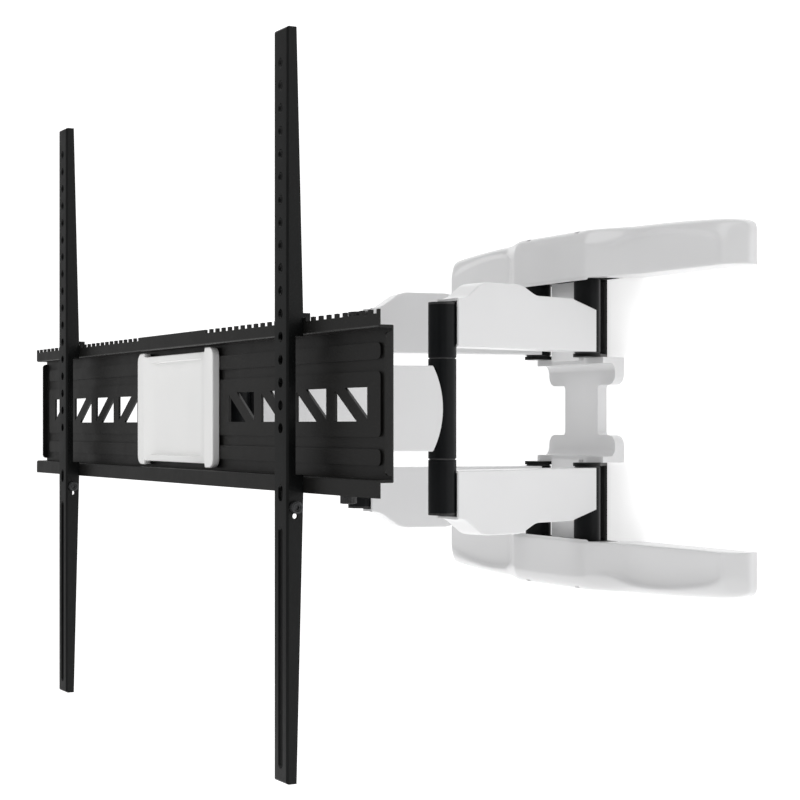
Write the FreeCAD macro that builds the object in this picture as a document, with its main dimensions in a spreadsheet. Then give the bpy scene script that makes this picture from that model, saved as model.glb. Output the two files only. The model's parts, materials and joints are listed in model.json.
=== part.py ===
"""Full-motion TV wall mount with two folding arms, in millimetres.

Frame: X runs along the wall, +Y points into the wall, Z is up. The origin lies on the
wall face, midway between the four wall bolts. The mount stands as in use, extended.
"""
import FreeCAD, Part
import math
import os
from types import SimpleNamespace

import Sketcher

Vector = FreeCAD.Vector
Rotation = FreeCAD.Rotation
Placement = FreeCAD.Placement
UP = Vector(0, 0, 1)
TURN_OVER = Rotation(Vector(0, 1, 0), 180)

SIZES = {
    # wall bars
    "plate_thick": 3.0,
    "bar_half_length": 270.0,
    "bar_height": 50.4,
    "bolt_row_z": 176.0,
    "bolt_half_spacing": 203.2,
    "wall_slot_length": 30.0,
    "wall_slot_width": 9.0,
    "post_half_width": 20.0,
    # pivots
    "pivot_x": 50.0,
    "pivot_depth": 40.0,
    "pin_dia": 12.0,
    "pin_head_dia": 20.0,
    "pin_head_height": 6.0,
    "running_gap": 0.05,
    "fixed_gap": 0.02,
    "end_gap": 0.2,
    "bush_dia": 16.0,
    "bush_length": 18.0,
    "flange_dia": 24.0,
    "flange_thick": 1.2,
    # pivot brackets
    "bracket_thick": 4.0,
    "lug_low_z": 60.0,
    "lug_high_z": 150.0,
    "lug_radius": 16.0,
    # wall covers
    "cover_low_z": 148.0,
    "cover_height": 56.0,
    "cover_half_length": 295.0,
    "cover_wall": 2.5,
    "bulge_depth": 60.0,
    "bulge_half_width": 80.0,
    "wing_depth": 38.0,
    "wing_start_x": 125.0,
    "tip_depth": 27.0,
    "tip_round": 10.0,
    "shoulder_round": 34.0,
    "brow_round": 14.0,
    "scoop_end_x": 256.0,
    "scoop_depth": 3.5,
    "scoop_slope": 14.0,
    "scoop_rise": 2.5,
    "scoop_height": 36.0,
    "notch_width": 9.0,
    "notch_depth": 3.0,
    "cover_mouth_half_width": 70.0,
    "cover_mouth_depth": 57.2,
    # centre cover
    "column_half_width": 28.0,
    "column_depth": 36.0,
    "waist_half_width": 23.0,
    "waist_depth": 30.0,
    "waist_half_height": 29.0,
    "ledge_half_width": 66.0,
    "ledge_depth": 42.0,
    "ledge_thick": 8.0,
    "waist_round": 6.0,
    "ledge_round": 10.0,
    # wall arms
    "arm_length": 220.0,
    "splay_angle": 11.0,
    "tube_dia": 30.0,
    "arm_bar_thick": 8.0,
    "arm_bar_height": 40.0,
    "arm_bar_lift": 3.0,
    "knuckle_low_z": 54.0,
    "knuckle_high_z": 110.0,
    "cap_thick": 2.5,
    "sleeve_gap": 0.2,
    "sleeve_wall": 2.3,
    "sleeve_base_z": 65.6,
    "sleeve_wall_end": 2.0,
    "sleeve_elbow_end": 7.0,
    "sleeve_nose_z": 113.0,
    "sleeve_back_z": 124.5,
    "nose_run": 17.0,
    "hump_z": 135.5,
    "foot_back": 17.0,
    "hump_back": 43.0,
    "hump_flat": 58.0,
    "hump_slope": 22.0,
    "sleeve_tip_z": 117.0,
    "hump_round": 26.0,
    "foot_round": 24.0,
    "nose_round": 8.0,
    "sleeve_edge": 2.0,
    # front arms
    "front_half_height": 45.0,
    "front_start": 5.5,
    "front_bow": 11.0,
    "front_stop": 18.0,
    "front_bar_half_height": 28.0,
    "front_bar_thick": 8.0,
    "head_tube_dia": 26.0,
    "head_tube_half_height": 45.0,
    "open_pivot_gap": 0.4,
    # head
    "yoke_thick": 4.0,
    "yoke_radius": 13.0,
    "swivel_dia": 26.0,
    "swivel_plate_depth": 15.0,
    "swivel_plate_half_height": 22.0,
    "tilt_depth": 26.0,
    "tilt_ear_radius": 9.0,
    "tilt_ear_thick": 5.0,
    "tilt_ear_x": 24.0,
    "tilt_bolt_dia": 8.0,
    "tilt_head_dia": 15.0,
    "tilt_head_height": 5.0,
    "tilt_nut_height": 7.0,
    "bracket_ear_thick": 5.0,
    "bracket_base_half_height": 32.0,
    "bracket_base_half_width": 46.0,
    # television plate
    "sheet_thick": 2.5,
    "panel_half_length": 450.0,
    "panel_half_height": 64.0,
    "lip_setback": 13.0,
    "lip_top_z": 76.5,
    "gap_width": 9.5,
    "gap_depth": 3.5,
    "gap_pitch": 15.0,
    "gap_start_x": 93.0,
    "gap_count": 24,
    "knob_inset": 65.0,
    "knob_dia": 14.0,
    "knob_height": 6.5,
    "bracket_bolt_x": 39.5,
    "bracket_bolt_z": 22.0,
    "bracket_bolt_dia": 6.0,
    "bracket_bolt_head": 11.0,
    "bracket_bolt_head_height": 3.0,
    "end_return": 5.5,
    "end_return_round": 4.0,
    "end_relief": 3.0,
    "emboss_height": 2.0,
    "field_half_height": 27.0,
    "field_half_length": 434.0,
    "bead_low_z": 37.0,
    "bead_high_z": 50.5,
    "emboss_round": 5.0,
    "window_first_x": 154.5,
    "window_pitch": 75.6,
    "window_count": 4,
    "window_half_width": 29.5,
    "window_half_height": 14.2,
    "brace_run": 19.0,
    "brace_rise": 2.0,
    # front cover
    "tray_half_width": 103.0,
    "tray_half_height": 59.5,
    "tray_depth": 8.0,
    "tray_rim": 20.0,
    "tray_slope": 25.0,
    "tray_edge": 1.5,
    "tray_floor": 2.0,
    "tray_round": 10.0,
    "tray_ledge": 6.5,
    "tray_ledge_half_height": 55.5,
    "tray_ledge_depth": 6.0,
    # rails
    "rail_x": 300.0,
    "rail_half_length": 330.0,
    "rail_width": 26.0,
    "rail_thick": 2.5,
    "rail_depth": 16.0,
    "rail_tip_depth": 9.5,
    "rail_waist_depth": 8.5,
    "rail_waist_z": 54.0,
    "hole_pitch": 20.0,
    "hole_margin": 30.0,
    "hole_count": 17,
    "hole_dia": 9.0,
    "short_slot_length": 15.0,
    "slot_drop": 30.0,
    "slot_margin": 12.0,
    "hook_reach": 4.0,
    "hook_drop": 9.0,
    "hook_height": 4.0,
    "lock_drop": 12.5,
    "lock_dia": 11.0,
    "lock_height": 5.0,
    "eye_drop": 20.0,
    "eye_dia": 5.0,
}

doc = FreeCAD.newDocument("tv_wall_mount")


class Size:
    """A length with its spreadsheet expression, so that one sum gives both."""

    def __init__(self, value, text):
        self.value = value
        self.text = text

    def __add__(self, other):
        other = as_size(other)
        return Size(self.value + other.value, f"({self.text} + {other.text})")

    def __sub__(self, other):
        other = as_size(other)
        return Size(self.value - other.value, f"({self.text} - {other.text})")

    def __mul__(self, other):
        other = as_size(other)
        return Size(self.value * other.value, f"({self.text} * {other.text})")

    def __truediv__(self, other):
        other = as_size(other)
        return Size(self.value / other.value, f"({self.text} / {other.text})")

    def __neg__(self):
        return Size(-self.value, f"(0 - {self.text})")

    __radd__ = __add__
    __rmul__ = __mul__

    def __rsub__(self, other):
        return as_size(other) - self


def as_size(number):
    return number if isinstance(number, Size) else Size(float(number), f"{float(number)}")


def make_sheet():
    sheet = doc.addObject("Spreadsheet::Sheet", "Sheet")
    for row, (alias, number) in enumerate(SIZES.items(), start=1):
        sheet.set(f"A{row}", alias)
        sheet.set(f"B{row}", str(number))
        sheet.setAlias(f"B{row}", alias)
    doc.recompute()
    names = {alias: Size(float(sheet.get(alias)), f"Sheet.{alias}") for alias in SIZES}
    return SimpleNamespace(**names)


s = make_sheet()


# Sketch and feature helpers

def bind(obj, prop, size):
    obj.setExpression(prop, as_size(size).text)


def new_body(label):
    body = doc.addObject("PartDesign::Body", label)
    body.Label = label
    return body


def new_sketch(body, name, role, offset=None):
    plane = next(item for item in body.Origin.OriginFeatures if item.Role == role)
    sketch = body.newObject("Sketcher::SketchObject", f"{body.Name}_{name}")
    sketch.AttachmentSupport = (plane, [""])
    sketch.MapMode = "FlatFace"
    if offset is not None:
        bind(sketch, "AttachmentOffset.Base.z", offset)
    return sketch


def pin_point(sketch, geometry, point, x, y):
    for kind, size in (("DistanceX", as_size(x)), ("DistanceY", as_size(y))):
        if size.value == 0 and size.text == "0.0":
            on_axis = -2 if kind == "DistanceX" else -1
            sketch.addConstraint(Sketcher.Constraint("PointOnObject", geometry, point, on_axis))
            continue
        index = sketch.addConstraint(Sketcher.Constraint(kind, -1, 1, geometry, point, size.value))
        sketch.setExpression(f"Constraints[{index}]", size.text)


def corner_arc(before, corner, after, radius):
    """The round at a corner: its two ends, its arc and whether it turns anticlockwise."""
    inward = (before - corner).normalize()
    onward = (after - corner).normalize()
    half = math.acos(max(-1.0, min(1.0, inward.dot(onward)))) / 2
    reach = radius / math.tan(half)
    centre = corner + (inward + onward).normalize() * (radius / math.sin(half))
    first = corner + inward * reach
    last = corner + onward * reach
    left_turn = (corner - before).cross(after - corner).z > 0
    start, stop = (first, last) if left_turn else (last, first)
    low = math.atan2(start.y - centre.y, start.x - centre.x)
    high = math.atan2(stop.y - centre.y, stop.x - centre.x)
    if high < low:
        high += 2 * math.pi
    arc = Part.ArcOfCircle(Part.Circle(centre, UP, radius), low, high)
    return first, last, arc, left_turn


def add_polygon(sketch, points):
    """A closed outline through points (x, y), or (x, y, radius) where the corner is rounded."""
    count = len(points)
    places = [Vector(as_size(point[0]).value, as_size(point[1]).value, 0) for point in points]
    starts, stops, rounds = list(places), list(places), {}
    for i, point in enumerate(points):
        if len(point) == 3:
            before, after = places[i - 1], places[(i + 1) % count]
            stops[i], starts[i], arc, left_turn = corner_arc(before, places[i], after, as_size(point[2]).value)
            rounds[i] = (arc, left_turn)
    first = sketch.GeometryCount
    for i in range(count):
        sketch.addGeometry(Part.LineSegment(starts[i], stops[(i + 1) % count]), False)
    for i, point in enumerate(points):
        incoming = first + (i - 1) % count
        if i not in rounds:
            sketch.addConstraint(Sketcher.Constraint("Coincident", incoming, 2, first + i, 1))
            pin_point(sketch, first + i, 1, point[0], point[1])
            continue
        arc, left_turn = rounds[i]
        bend = sketch.addGeometry(arc, False)
        enter, leave = (1, 2) if left_turn else (2, 1)
        sketch.addConstraint(Sketcher.Constraint("Tangent", incoming, 2, bend, enter))
        sketch.addConstraint(Sketcher.Constraint("Tangent", first + i, 1, bend, leave))
        radius = as_size(point[2])
        index = sketch.addConstraint(Sketcher.Constraint("Radius", bend, radius.value))
        sketch.setExpression(f"Constraints[{index}]", radius.text)
        corner = sketch.addGeometry(Part.Point(places[i]), True)
        pin_point(sketch, corner, 1, point[0], point[1])
        sketch.addConstraint(Sketcher.Constraint("PointOnObject", corner, 1, incoming))
        sketch.addConstraint(Sketcher.Constraint("PointOnObject", corner, 1, first + i))


def add_rectangle(sketch, left, right, low, high):
    add_polygon(sketch, [(left, low), (right, low), (right, high), (left, high)])


def add_round_rectangle(sketch, half_length, low, high, radius):
    add_polygon(sketch, [(-half_length, low, radius), (half_length, low, radius),
                         (half_length, high, radius), (-half_length, high, radius)])


def add_circle(sketch, x, y, radius):
    x, y, radius = as_size(x), as_size(y), as_size(radius)
    circle = Part.Circle(Vector(x.value, y.value, 0), UP, radius.value)
    geometry = sketch.addGeometry(circle, False)
    pin_point(sketch, geometry, 3, x, y)
    index = sketch.addConstraint(Sketcher.Constraint("Radius", geometry, radius.value))
    sketch.setExpression(f"Constraints[{index}]", radius.text)


def add_slot(sketch, x, y, length, width, upright):
    """A round-ended slot, its long side along the sketch's second axis when upright."""
    x, y = as_size(x), as_size(y)
    half = (as_size(length) - width) / 2
    radius = as_size(width) / 2
    along = Vector(0, 1, 0) if upright else Vector(1, 0, 0)
    across = Vector(along.y, -along.x, 0)
    middle = Vector(x.value, y.value, 0)
    ends = [middle + along * half.value, middle - along * half.value]
    turn = 0 if upright else -math.pi / 2
    first = sketch.GeometryCount
    for end, begin in zip(ends, (turn, turn + math.pi)):
        circle = Part.Circle(end, UP, radius.value)
        sketch.addGeometry(Part.ArcOfCircle(circle, begin, begin + math.pi), False)
    offset = across * radius.value
    sketch.addGeometry(Part.LineSegment(ends[0] - offset, ends[1] - offset), False)
    sketch.addGeometry(Part.LineSegment(ends[1] + offset, ends[0] + offset), False)
    joins = ((0, 2, 2, 1), (2, 2, 1, 1), (1, 2, 3, 1), (3, 2, 0, 1))
    for one, one_end, other, other_end in joins:
        sketch.addConstraint(Sketcher.Constraint("Tangent", first + one, one_end, first + other, other_end))
    if upright:
        pin_point(sketch, first, 3, x, y + half)
        pin_point(sketch, first + 1, 3, x, y - half)
    else:
        pin_point(sketch, first, 3, x + half, y)
        pin_point(sketch, first + 1, 3, x - half, y)
    index = sketch.addConstraint(Sketcher.Constraint("Radius", first, radius.value))
    sketch.setExpression(f"Constraints[{index}]", radius.text)


def pad(body, sketch, length, both_ways=False, backward=False):
    feature = body.newObject("PartDesign::Pad", sketch.Name + "_pad")
    feature.Profile = sketch
    bind(feature, "Length", length)
    feature.Midplane = both_ways
    feature.Reversed = backward
    doc.recompute()
    return feature


def pocket(body, sketch, length=None, both_ways=False, backward=False):
    before = body.Shape.Volume
    feature = body.newObject("PartDesign::Pocket", sketch.Name + "_pocket")
    feature.Profile = sketch
    if length is None:
        feature.Type = "ThroughAll"
    else:
        bind(feature, "Length", length)
    feature.Midplane = both_ways
    feature.Reversed = backward
    doc.recompute()
    if not body.Shape.Volume < before:
        raise RuntimeError(f"{feature.Name} cuts nothing")
    return feature


def pattern(body, feature, sketch, axis, step, count, backward=False):
    """Repeats a feature along a sketch axis, count places a step apart."""
    row = body.newObject("PartDesign::LinearPattern", feature.Name + "_row")
    row.Originals = [feature]
    row.Direction = (sketch, [axis])
    row.Reversed = backward
    bind(row, "Length", as_size(step) * (as_size(count) - 1))
    bind(row, "Occurrences", count)
    body.Tip = row
    doc.recompute()
    return row


def round_edges(body, radius, wanted):
    """Rounds the edges of the body so far whose midpoint the test accepts."""
    base = body.Tip
    names = []
    for number, edge in enumerate(base.Shape.Edges, start=1):
        middle = edge.valueAt((edge.FirstParameter + edge.LastParameter) / 2)
        if wanted(edge, middle):
            names.append(f"Edge{number}")
    if not names:
        raise RuntimeError(f"{body.Label} has no such edge to round")
    feature = body.newObject("PartDesign::Fillet", f"{base.Name}_round")
    feature.Base = (base, names)
    bind(feature, "Radius", radius)
    doc.recompute()
    if "Invalid" in feature.State or feature.Shape.isNull():
        raise RuntimeError(f"{feature.Name} could not be rounded")
    return feature


def near(value, size, slack=0.01):
    return abs(value - as_size(size).value) < slack


def runs_along(edge, axis):
    if edge.Curve.TypeId != "Part::GeomLine":
        return False
    return abs(abs(edge.Curve.Direction.dot(axis)) - 1) < 1e-6


def cylinder(name, radius, height, x=0, y=0, z=0):
    shape = doc.addObject("Part::Cylinder", name)
    bind(shape, "Radius", radius)
    bind(shape, "Height", height)
    for axis, place in zip("xyz", (x, y, z)):
        bind(shape, f"Placement.Base.{axis}", place)
    return shape


def cut(name, base, tool):
    result = doc.addObject("Part::Cut", name)
    result.Base = base
    result.Tool = tool
    return result


def fuse(name, pieces):
    result = doc.addObject("Part::MultiFuse", name)
    result.Shapes = pieces
    result.Refine = True
    return result


def group(label, pieces):
    result = doc.addObject("Part::Compound", label)
    result.Label = label
    result.Links = pieces
    return result


# Places shared by several pieces

splay = math.radians(s.splay_angle.value)
elbow_x = s.pivot_x.value + s.arm_length.value * math.sin(splay)
elbow_y = -s.pivot_depth.value - s.arm_length.value * math.cos(splay)
head_y = 2 * elbow_y + s.pivot_depth.value

tube_radius = s.tube_dia / 2
hump_foot = s.arm_length - s.foot_back
hump_fall = s.arm_length - s.hump_back
hump_rise = hump_fall - s.hump_flat
hump_start = hump_rise - s.hump_slope
pin_hole = s.pin_dia / 2 + s.fixed_gap
bush_hole = s.pin_dia / 2 + s.running_gap
bush_seat = s.bush_dia / 2 + s.fixed_gap
collar = s.flange_thick + s.end_gap
wall_tube_low = s.lug_low_z + s.bracket_thick + collar
wall_tube_high = s.lug_high_z - collar
elbow_tube_half = s.knuckle_low_z - collar
yoke_low = s.head_tube_half_height + collar
yoke_high = yoke_low + s.yoke_thick
bracket_front = s.plate_thick + s.bracket_thick
panel_back = s.tilt_depth + s.tilt_ear_radius + s.end_gap + s.bracket_thick
panel_front = panel_back + s.sheet_thick
lip_front = panel_front + s.lip_setback
rail_front = lip_front + s.rail_depth

HEAD = Vector(0, head_y, 0)
SIDES = {"right": 1, "left": -1}


# Wall frame

def wall_bar(label):
    """A flat steel bar with a slot for a wall bolt near each end."""
    body = new_body(label)
    outline = new_sketch(body, "outline", "XZ_Plane")
    half = s.bar_height / 2
    add_rectangle(outline, -s.bar_half_length, s.bar_half_length, s.bolt_row_z - half, s.bolt_row_z + half)
    pad(body, outline, s.plate_thick)
    slots = new_sketch(body, "slots", "XZ_Plane")
    for x in (-s.bolt_half_spacing, s.bolt_half_spacing):
        add_slot(slots, x, s.bolt_row_z, s.wall_slot_length, s.wall_slot_width, upright=False)
    pocket(body, slots, backward=True)
    return body


def centre_post():
    """The flat strip between the two bars."""
    body = new_body("centre_post")
    outline = new_sketch(body, "outline", "XZ_Plane")
    high = s.bolt_row_z - s.bar_height / 2
    add_rectangle(outline, -s.post_half_width, s.post_half_width, -high, high)
    pad(body, outline, s.plate_thick)
    return body


def pivot_bracket(label):
    """A folded channel: a back plate and a pair of lugs above and below each pivot."""
    body = new_body(label)
    back = new_sketch(body, "back", "XZ_Plane", s.plate_thick)
    top = s.lug_high_z + s.bracket_thick
    add_rectangle(back, -s.pivot_x, s.pivot_x, s.lug_low_z, top)
    pad(body, back, s.bracket_thick)
    for name, z in (("low", s.lug_low_z), ("high", s.lug_high_z)):
        for side in (-1, 1):
            arm = new_sketch(body, f"{name}_lug_{'right' if side > 0 else 'left'}", "XY_Plane", z)
            inner = side * (s.pivot_x - s.lug_radius)
            outer = side * (s.pivot_x + s.lug_radius)
            root = side * s.pivot_x
            add_polygon(arm, [(inner, -s.plate_thick), (inner, -s.pivot_depth), (outer, -s.pivot_depth),
                              (root, -s.plate_thick)])
            pad(body, arm, s.bracket_thick)
            end = new_sketch(body, f"{name}_eye_{'right' if side > 0 else 'left'}", "XY_Plane", z)
            add_circle(end, side * s.pivot_x, -s.pivot_depth, s.lug_radius)
            pad(body, end, s.bracket_thick)
    holes = new_sketch(body, "holes", "XY_Plane")
    for side in (-1, 1):
        add_circle(holes, side * s.pivot_x, -s.pivot_depth, pin_hole)
    pocket(body, holes, backward=True)
    return body


def wall_cover(label):
    """A moulded cover, open behind and under its middle, bulging over the pivots."""
    body = new_body(label)
    plan = new_sketch(body, "plan", "XY_Plane", s.cover_low_z)
    length = s.cover_half_length
    half = [(s.bulge_half_width, -s.bulge_depth, s.shoulder_round),
            (s.wing_start_x, -s.wing_depth, s.shoulder_round), (length, -s.tip_depth, s.tip_round)]
    mirrored = [(-x, y, radius) for x, y, radius in reversed(half)]
    add_polygon(plan, [(-length, 0)] + mirrored + half + [(length, 0)])
    pad(body, plan, s.cover_height)
    top = s.cover_low_z + s.cover_height
    add_wing_scoops(body)
    round_edges(body, s.brow_round, lambda edge, at: near(at.z, top) and at.y < -1)
    wall = s.cover_wall
    inside = new_sketch(body, "inside", "XY_Plane", s.cover_low_z + wall)
    reach = length - wall
    inner = [(s.bulge_half_width, -(s.bulge_depth - wall), s.shoulder_round),
             (s.wing_start_x, -(s.wing_depth - s.scoop_depth - wall), s.shoulder_round),
             (reach, -(s.tip_depth - s.scoop_depth - wall), s.tip_round - wall)]
    mirrored = [(-x, y, radius) for x, y, radius in reversed(inner)]
    add_polygon(inside, [(-reach, 0)] + mirrored + inner + [(reach, 0)])
    pocket(body, inside, s.cover_height - wall - s.brow_round, backward=True)
    crown = new_sketch(body, "crown", "XY_Plane", top - s.brow_round)
    across = length - s.tip_round - wall
    add_rectangle(crown, -across, across, -(s.tip_depth - s.brow_round), 0)
    pocket(body, crown, s.brow_round - wall, backward=True)
    mouth = new_sketch(body, "mouth", "XY_Plane", s.cover_low_z)
    add_rectangle(mouth, -s.cover_mouth_half_width, s.cover_mouth_half_width, -s.cover_mouth_depth, 0)
    pocket(body, mouth, wall, backward=True)
    notch = new_sketch(body, "notch", "XY_Plane", top)
    for side in (-1, 1):
        middle = side * s.pivot_x
        add_rectangle(notch, middle - s.notch_width / 2, middle + s.notch_width / 2,
                      -s.bulge_depth, -(s.bulge_depth - s.brow_round))
    pocket(body, notch, s.notch_depth * 2)
    return body


def add_wing_scoops(body):
    """The front of each wing falls back under its brow."""
    scoop = new_sketch(body, "scoop", "XY_Plane", s.cover_low_z)
    for way in (-1, 1):
        near_end, far_end = s.wing_start_x, s.scoop_end_x
        corners = [(near_end, -(s.bulge_depth + 1)), (near_end, -(s.wing_depth + 1)),
                   (near_end + s.scoop_slope, -(s.wing_depth - s.scoop_depth)),
                   (far_end, -(s.tip_depth + s.scoop_rise - s.scoop_depth)),
                   (far_end + s.scoop_slope, -(s.tip_depth + s.scoop_rise)),
                   (far_end + s.scoop_slope, -(s.bulge_depth + 1))]
        add_polygon(scoop, [(way * x, y) for x, y in corners])
    pocket(body, scoop, s.scoop_height, backward=True)


def centre_cover():
    """A moulded column between the pivots, waisted in the middle under two coved ledges."""
    body = new_body("centre_cover")
    back = bracket_front
    ledge_low = s.lug_low_z - s.ledge_thick
    side = new_sketch(body, "side", "YZ_Plane")
    upper = [(-s.waist_depth, s.waist_half_height), (-s.ledge_depth, ledge_low),
             (-s.ledge_depth, s.lug_low_z), (-back, s.lug_low_z)]
    add_polygon(side, [(y, -z) for y, z in reversed(upper)] + upper)
    pad(body, side, s.ledge_half_width * 2, both_ways=True)
    cove = ledge_low - s.waist_half_height
    round_edges(body, cove, lambda edge, at: runs_along(edge, Vector(1, 0, 0))
                and near(at.y, -s.waist_depth))
    column = new_sketch(body, "column", "XY_Plane")
    add_rectangle(column, -s.column_half_width, s.column_half_width, -s.column_depth, -back)
    pad(body, column, s.cover_low_z * 2, both_ways=True)
    waist = new_sketch(body, "waist", "XZ_Plane")
    slim, edge, high = s.waist_half_width, s.ledge_half_width, s.waist_half_height
    for way in (-1, 1):
        upper = [(way * edge, high, s.ledge_round), (way * edge, high + s.ledge_round + 2),
                 (way * (edge + 2), high + s.ledge_round + 2)]
        lower = [(x[0], -x[1]) + x[2:] for x in reversed(upper)]
        corners = [(way * slim, high, s.waist_round)] + upper + lower + [(way * slim, -high, s.waist_round)]
        add_polygon(waist, corners)
    pocket(body, waist, backward=True)
    hollow = new_sketch(body, "hollow", "XZ_Plane", back)
    wall = s.cover_wall
    add_rectangle(hollow, -(s.waist_half_width - wall), s.waist_half_width - wall,
                  -(s.cover_low_z - wall), s.cover_low_z - wall)
    pocket(body, hollow, s.waist_depth - back - wall, backward=True)
    return body


def wall_pivot_pins():
    """Four headed pins, one through each pair of lugs."""
    pins = []
    length = s.lug_high_z + s.bracket_thick - s.lug_low_z
    for side, way in SIDES.items():
        x = way * s.pivot_x
        for level in ("upper", "lower"):
            name = f"{side}_{level}_pivot"
            top = s.lug_high_z + s.bracket_thick
            low = s.lug_low_z if level == "upper" else -top
            head = top if level == "upper" else -(top + s.pin_head_height)
            shank = cylinder(f"{name}_shank", s.pin_dia / 2, length, x, -s.pivot_depth, low)
            cap = cylinder(f"{name}_head", s.pin_head_dia / 2, s.pin_head_height, x, -s.pivot_depth, head)
            pins.append(fuse(f"{name}_pin", [shank, cap]))
    return group("wall_pivot_pins", pins)


# Arms, drawn along -Y from the wall pivot or the elbow and then put in place

def flanged_bush(name, x, y, z, way, hole):
    """A plain bearing bush: its collar lies at z and its sleeve runs the way given from there."""
    sleeve_z = z - s.bush_length if way > 0 else z
    collar_z = z if way > 0 else z - s.flange_thick
    sleeve = cylinder(f"{name}_sleeve", s.bush_dia / 2, s.bush_length, x, y, sleeve_z)
    rim = cylinder(f"{name}_rim", s.flange_dia / 2, s.flange_thick, x, y, collar_z)
    bore = cylinder(f"{name}_bore", hole, s.bush_length + s.flange_thick, x, y,
                    sleeve_z if way > 0 else collar_z)
    return cut(name, fuse(f"{name}_blank", [sleeve, rim]), bore)


def wall_arm(label):
    """A steel arm: the wall tube, a flat bar on edge and the elbow tube."""
    body = new_body(label)
    wall_tube = new_sketch(body, "wall_tube", "XY_Plane", wall_tube_low)
    add_circle(wall_tube, 0, 0, tube_radius)
    pad(body, wall_tube, wall_tube_high - wall_tube_low)
    elbow_tube = new_sketch(body, "elbow_tube", "XY_Plane", s.knuckle_low_z)
    add_circle(elbow_tube, 0, -s.arm_length, tube_radius)
    pad(body, elbow_tube, s.knuckle_high_z - s.knuckle_low_z)
    bar = new_sketch(body, "bar", "YZ_Plane")
    low = wall_tube_low + s.arm_bar_lift
    add_rectangle(bar, -(s.arm_length - tube_radius / 2), -tube_radius / 2, low, low + s.arm_bar_height)
    pad(body, bar, s.arm_bar_thick, both_ways=True)
    bush_bore = new_sketch(body, "bush_bore", "XY_Plane")
    add_circle(bush_bore, 0, 0, bush_seat)
    pocket(body, bush_bore, backward=True)
    shaft_bore = new_sketch(body, "shaft_bore", "XY_Plane")
    add_circle(shaft_bore, 0, -s.arm_length, pin_hole)
    pocket(body, shaft_bore, backward=True)
    return body


def sleeve_outline():
    """The arm cover's side outline, with its hump near the elbow."""
    low = s.sleeve_base_z
    elbow = s.arm_length - s.sleeve_elbow_end
    return [(-s.sleeve_wall_end, low), (-s.sleeve_wall_end, s.sleeve_nose_z),
            (-(s.sleeve_wall_end + s.nose_run), s.sleeve_back_z, s.nose_round),
            (-hump_start, s.sleeve_back_z, s.hump_round), (-hump_rise, s.hump_z, s.hump_round),
            (-hump_fall, s.hump_z, s.hump_round), (-hump_foot, s.sleeve_tip_z, s.foot_round),
            (-elbow, s.sleeve_tip_z), (-elbow, low)]


def wall_arm_cover(label):
    body = new_body(label)
    inner = tube_radius + s.sleeve_gap
    outer = inner + s.sleeve_wall
    outline = new_sketch(body, "outline", "YZ_Plane")
    add_polygon(outline, sleeve_outline())
    pad(body, outline, outer * 2, both_ways=True)
    round_edges(body, s.sleeve_edge, lambda edge, at: near(abs(at.x), outer))
    hollow = new_sketch(body, "hollow", "YZ_Plane")
    low = s.sleeve_base_z + s.sleeve_wall
    elbow = s.arm_length - s.sleeve_elbow_end
    wall = s.sleeve_wall
    roof = s.sleeve_back_z - s.nose_round - wall
    add_polygon(hollow, [(0, low), (-(elbow + 1), low), (-(elbow + 1), s.sleeve_tip_z - wall),
                         (-hump_foot, s.sleeve_tip_z - wall), (-hump_fall, s.hump_z - wall * 2),
                         (-hump_rise, s.hump_z - wall * 2), (-hump_start, roof), (0, roof)])
    pocket(body, hollow, inner * 2, both_ways=True)
    room = new_sketch(body, "room", "XY_Plane")
    for y in (as_size(0), -s.arm_length):
        add_circle(room, 0, y, inner + s.sleeve_gap)
    pocket(body, room, backward=True)
    return body


def front_arm(label):
    """A steel arm: the elbow tube, a flat bar on edge and the head tube."""
    body = new_body(label)
    elbow_tube = new_sketch(body, "elbow_tube", "XY_Plane")
    add_circle(elbow_tube, 0, 0, tube_radius)
    pad(body, elbow_tube, elbow_tube_half * 2, both_ways=True)
    head_tube = new_sketch(body, "head_tube", "XY_Plane")
    add_circle(head_tube, 0, -s.arm_length, s.head_tube_dia / 2)
    pad(body, head_tube, s.head_tube_half_height * 2, both_ways=True)
    bar = new_sketch(body, "bar", "YZ_Plane")
    add_rectangle(bar, -(s.arm_length - s.head_tube_dia / 4), -tube_radius / 2,
                  -s.front_bar_half_height, s.front_bar_half_height)
    pad(body, bar, s.front_bar_thick, both_ways=True)
    bores = new_sketch(body, "bores", "XY_Plane")
    for y in (as_size(0), -s.arm_length):
        add_circle(bores, 0, y, bush_seat)
    pocket(body, bores, elbow_tube_half * 3, both_ways=True)
    return body


def front_arm_cover(label):
    """A deep flat sleeve with bowed ends, open at the elbow and at the head."""
    body = new_body(label)
    inner = tube_radius + s.sleeve_gap
    outer = inner + s.sleeve_wall
    high = s.front_half_height
    start, stop = s.front_start, s.arm_length - s.front_stop
    outline = new_sketch(body, "outline", "YZ_Plane")
    add_bowed_rectangle(outline, start, stop, high, s.front_bow)
    pad(body, outline, outer * 2, both_ways=True)
    round_edges(body, s.sleeve_edge, lambda edge, at: runs_along(edge, Vector(0, 1, 0)))
    hollow = new_sketch(body, "hollow", "YZ_Plane")
    inside = high - s.sleeve_wall
    add_rectangle(hollow, -(stop + 1), 1, -inside, inside)
    pocket(body, hollow, inner * 2, both_ways=True)
    return body


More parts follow.
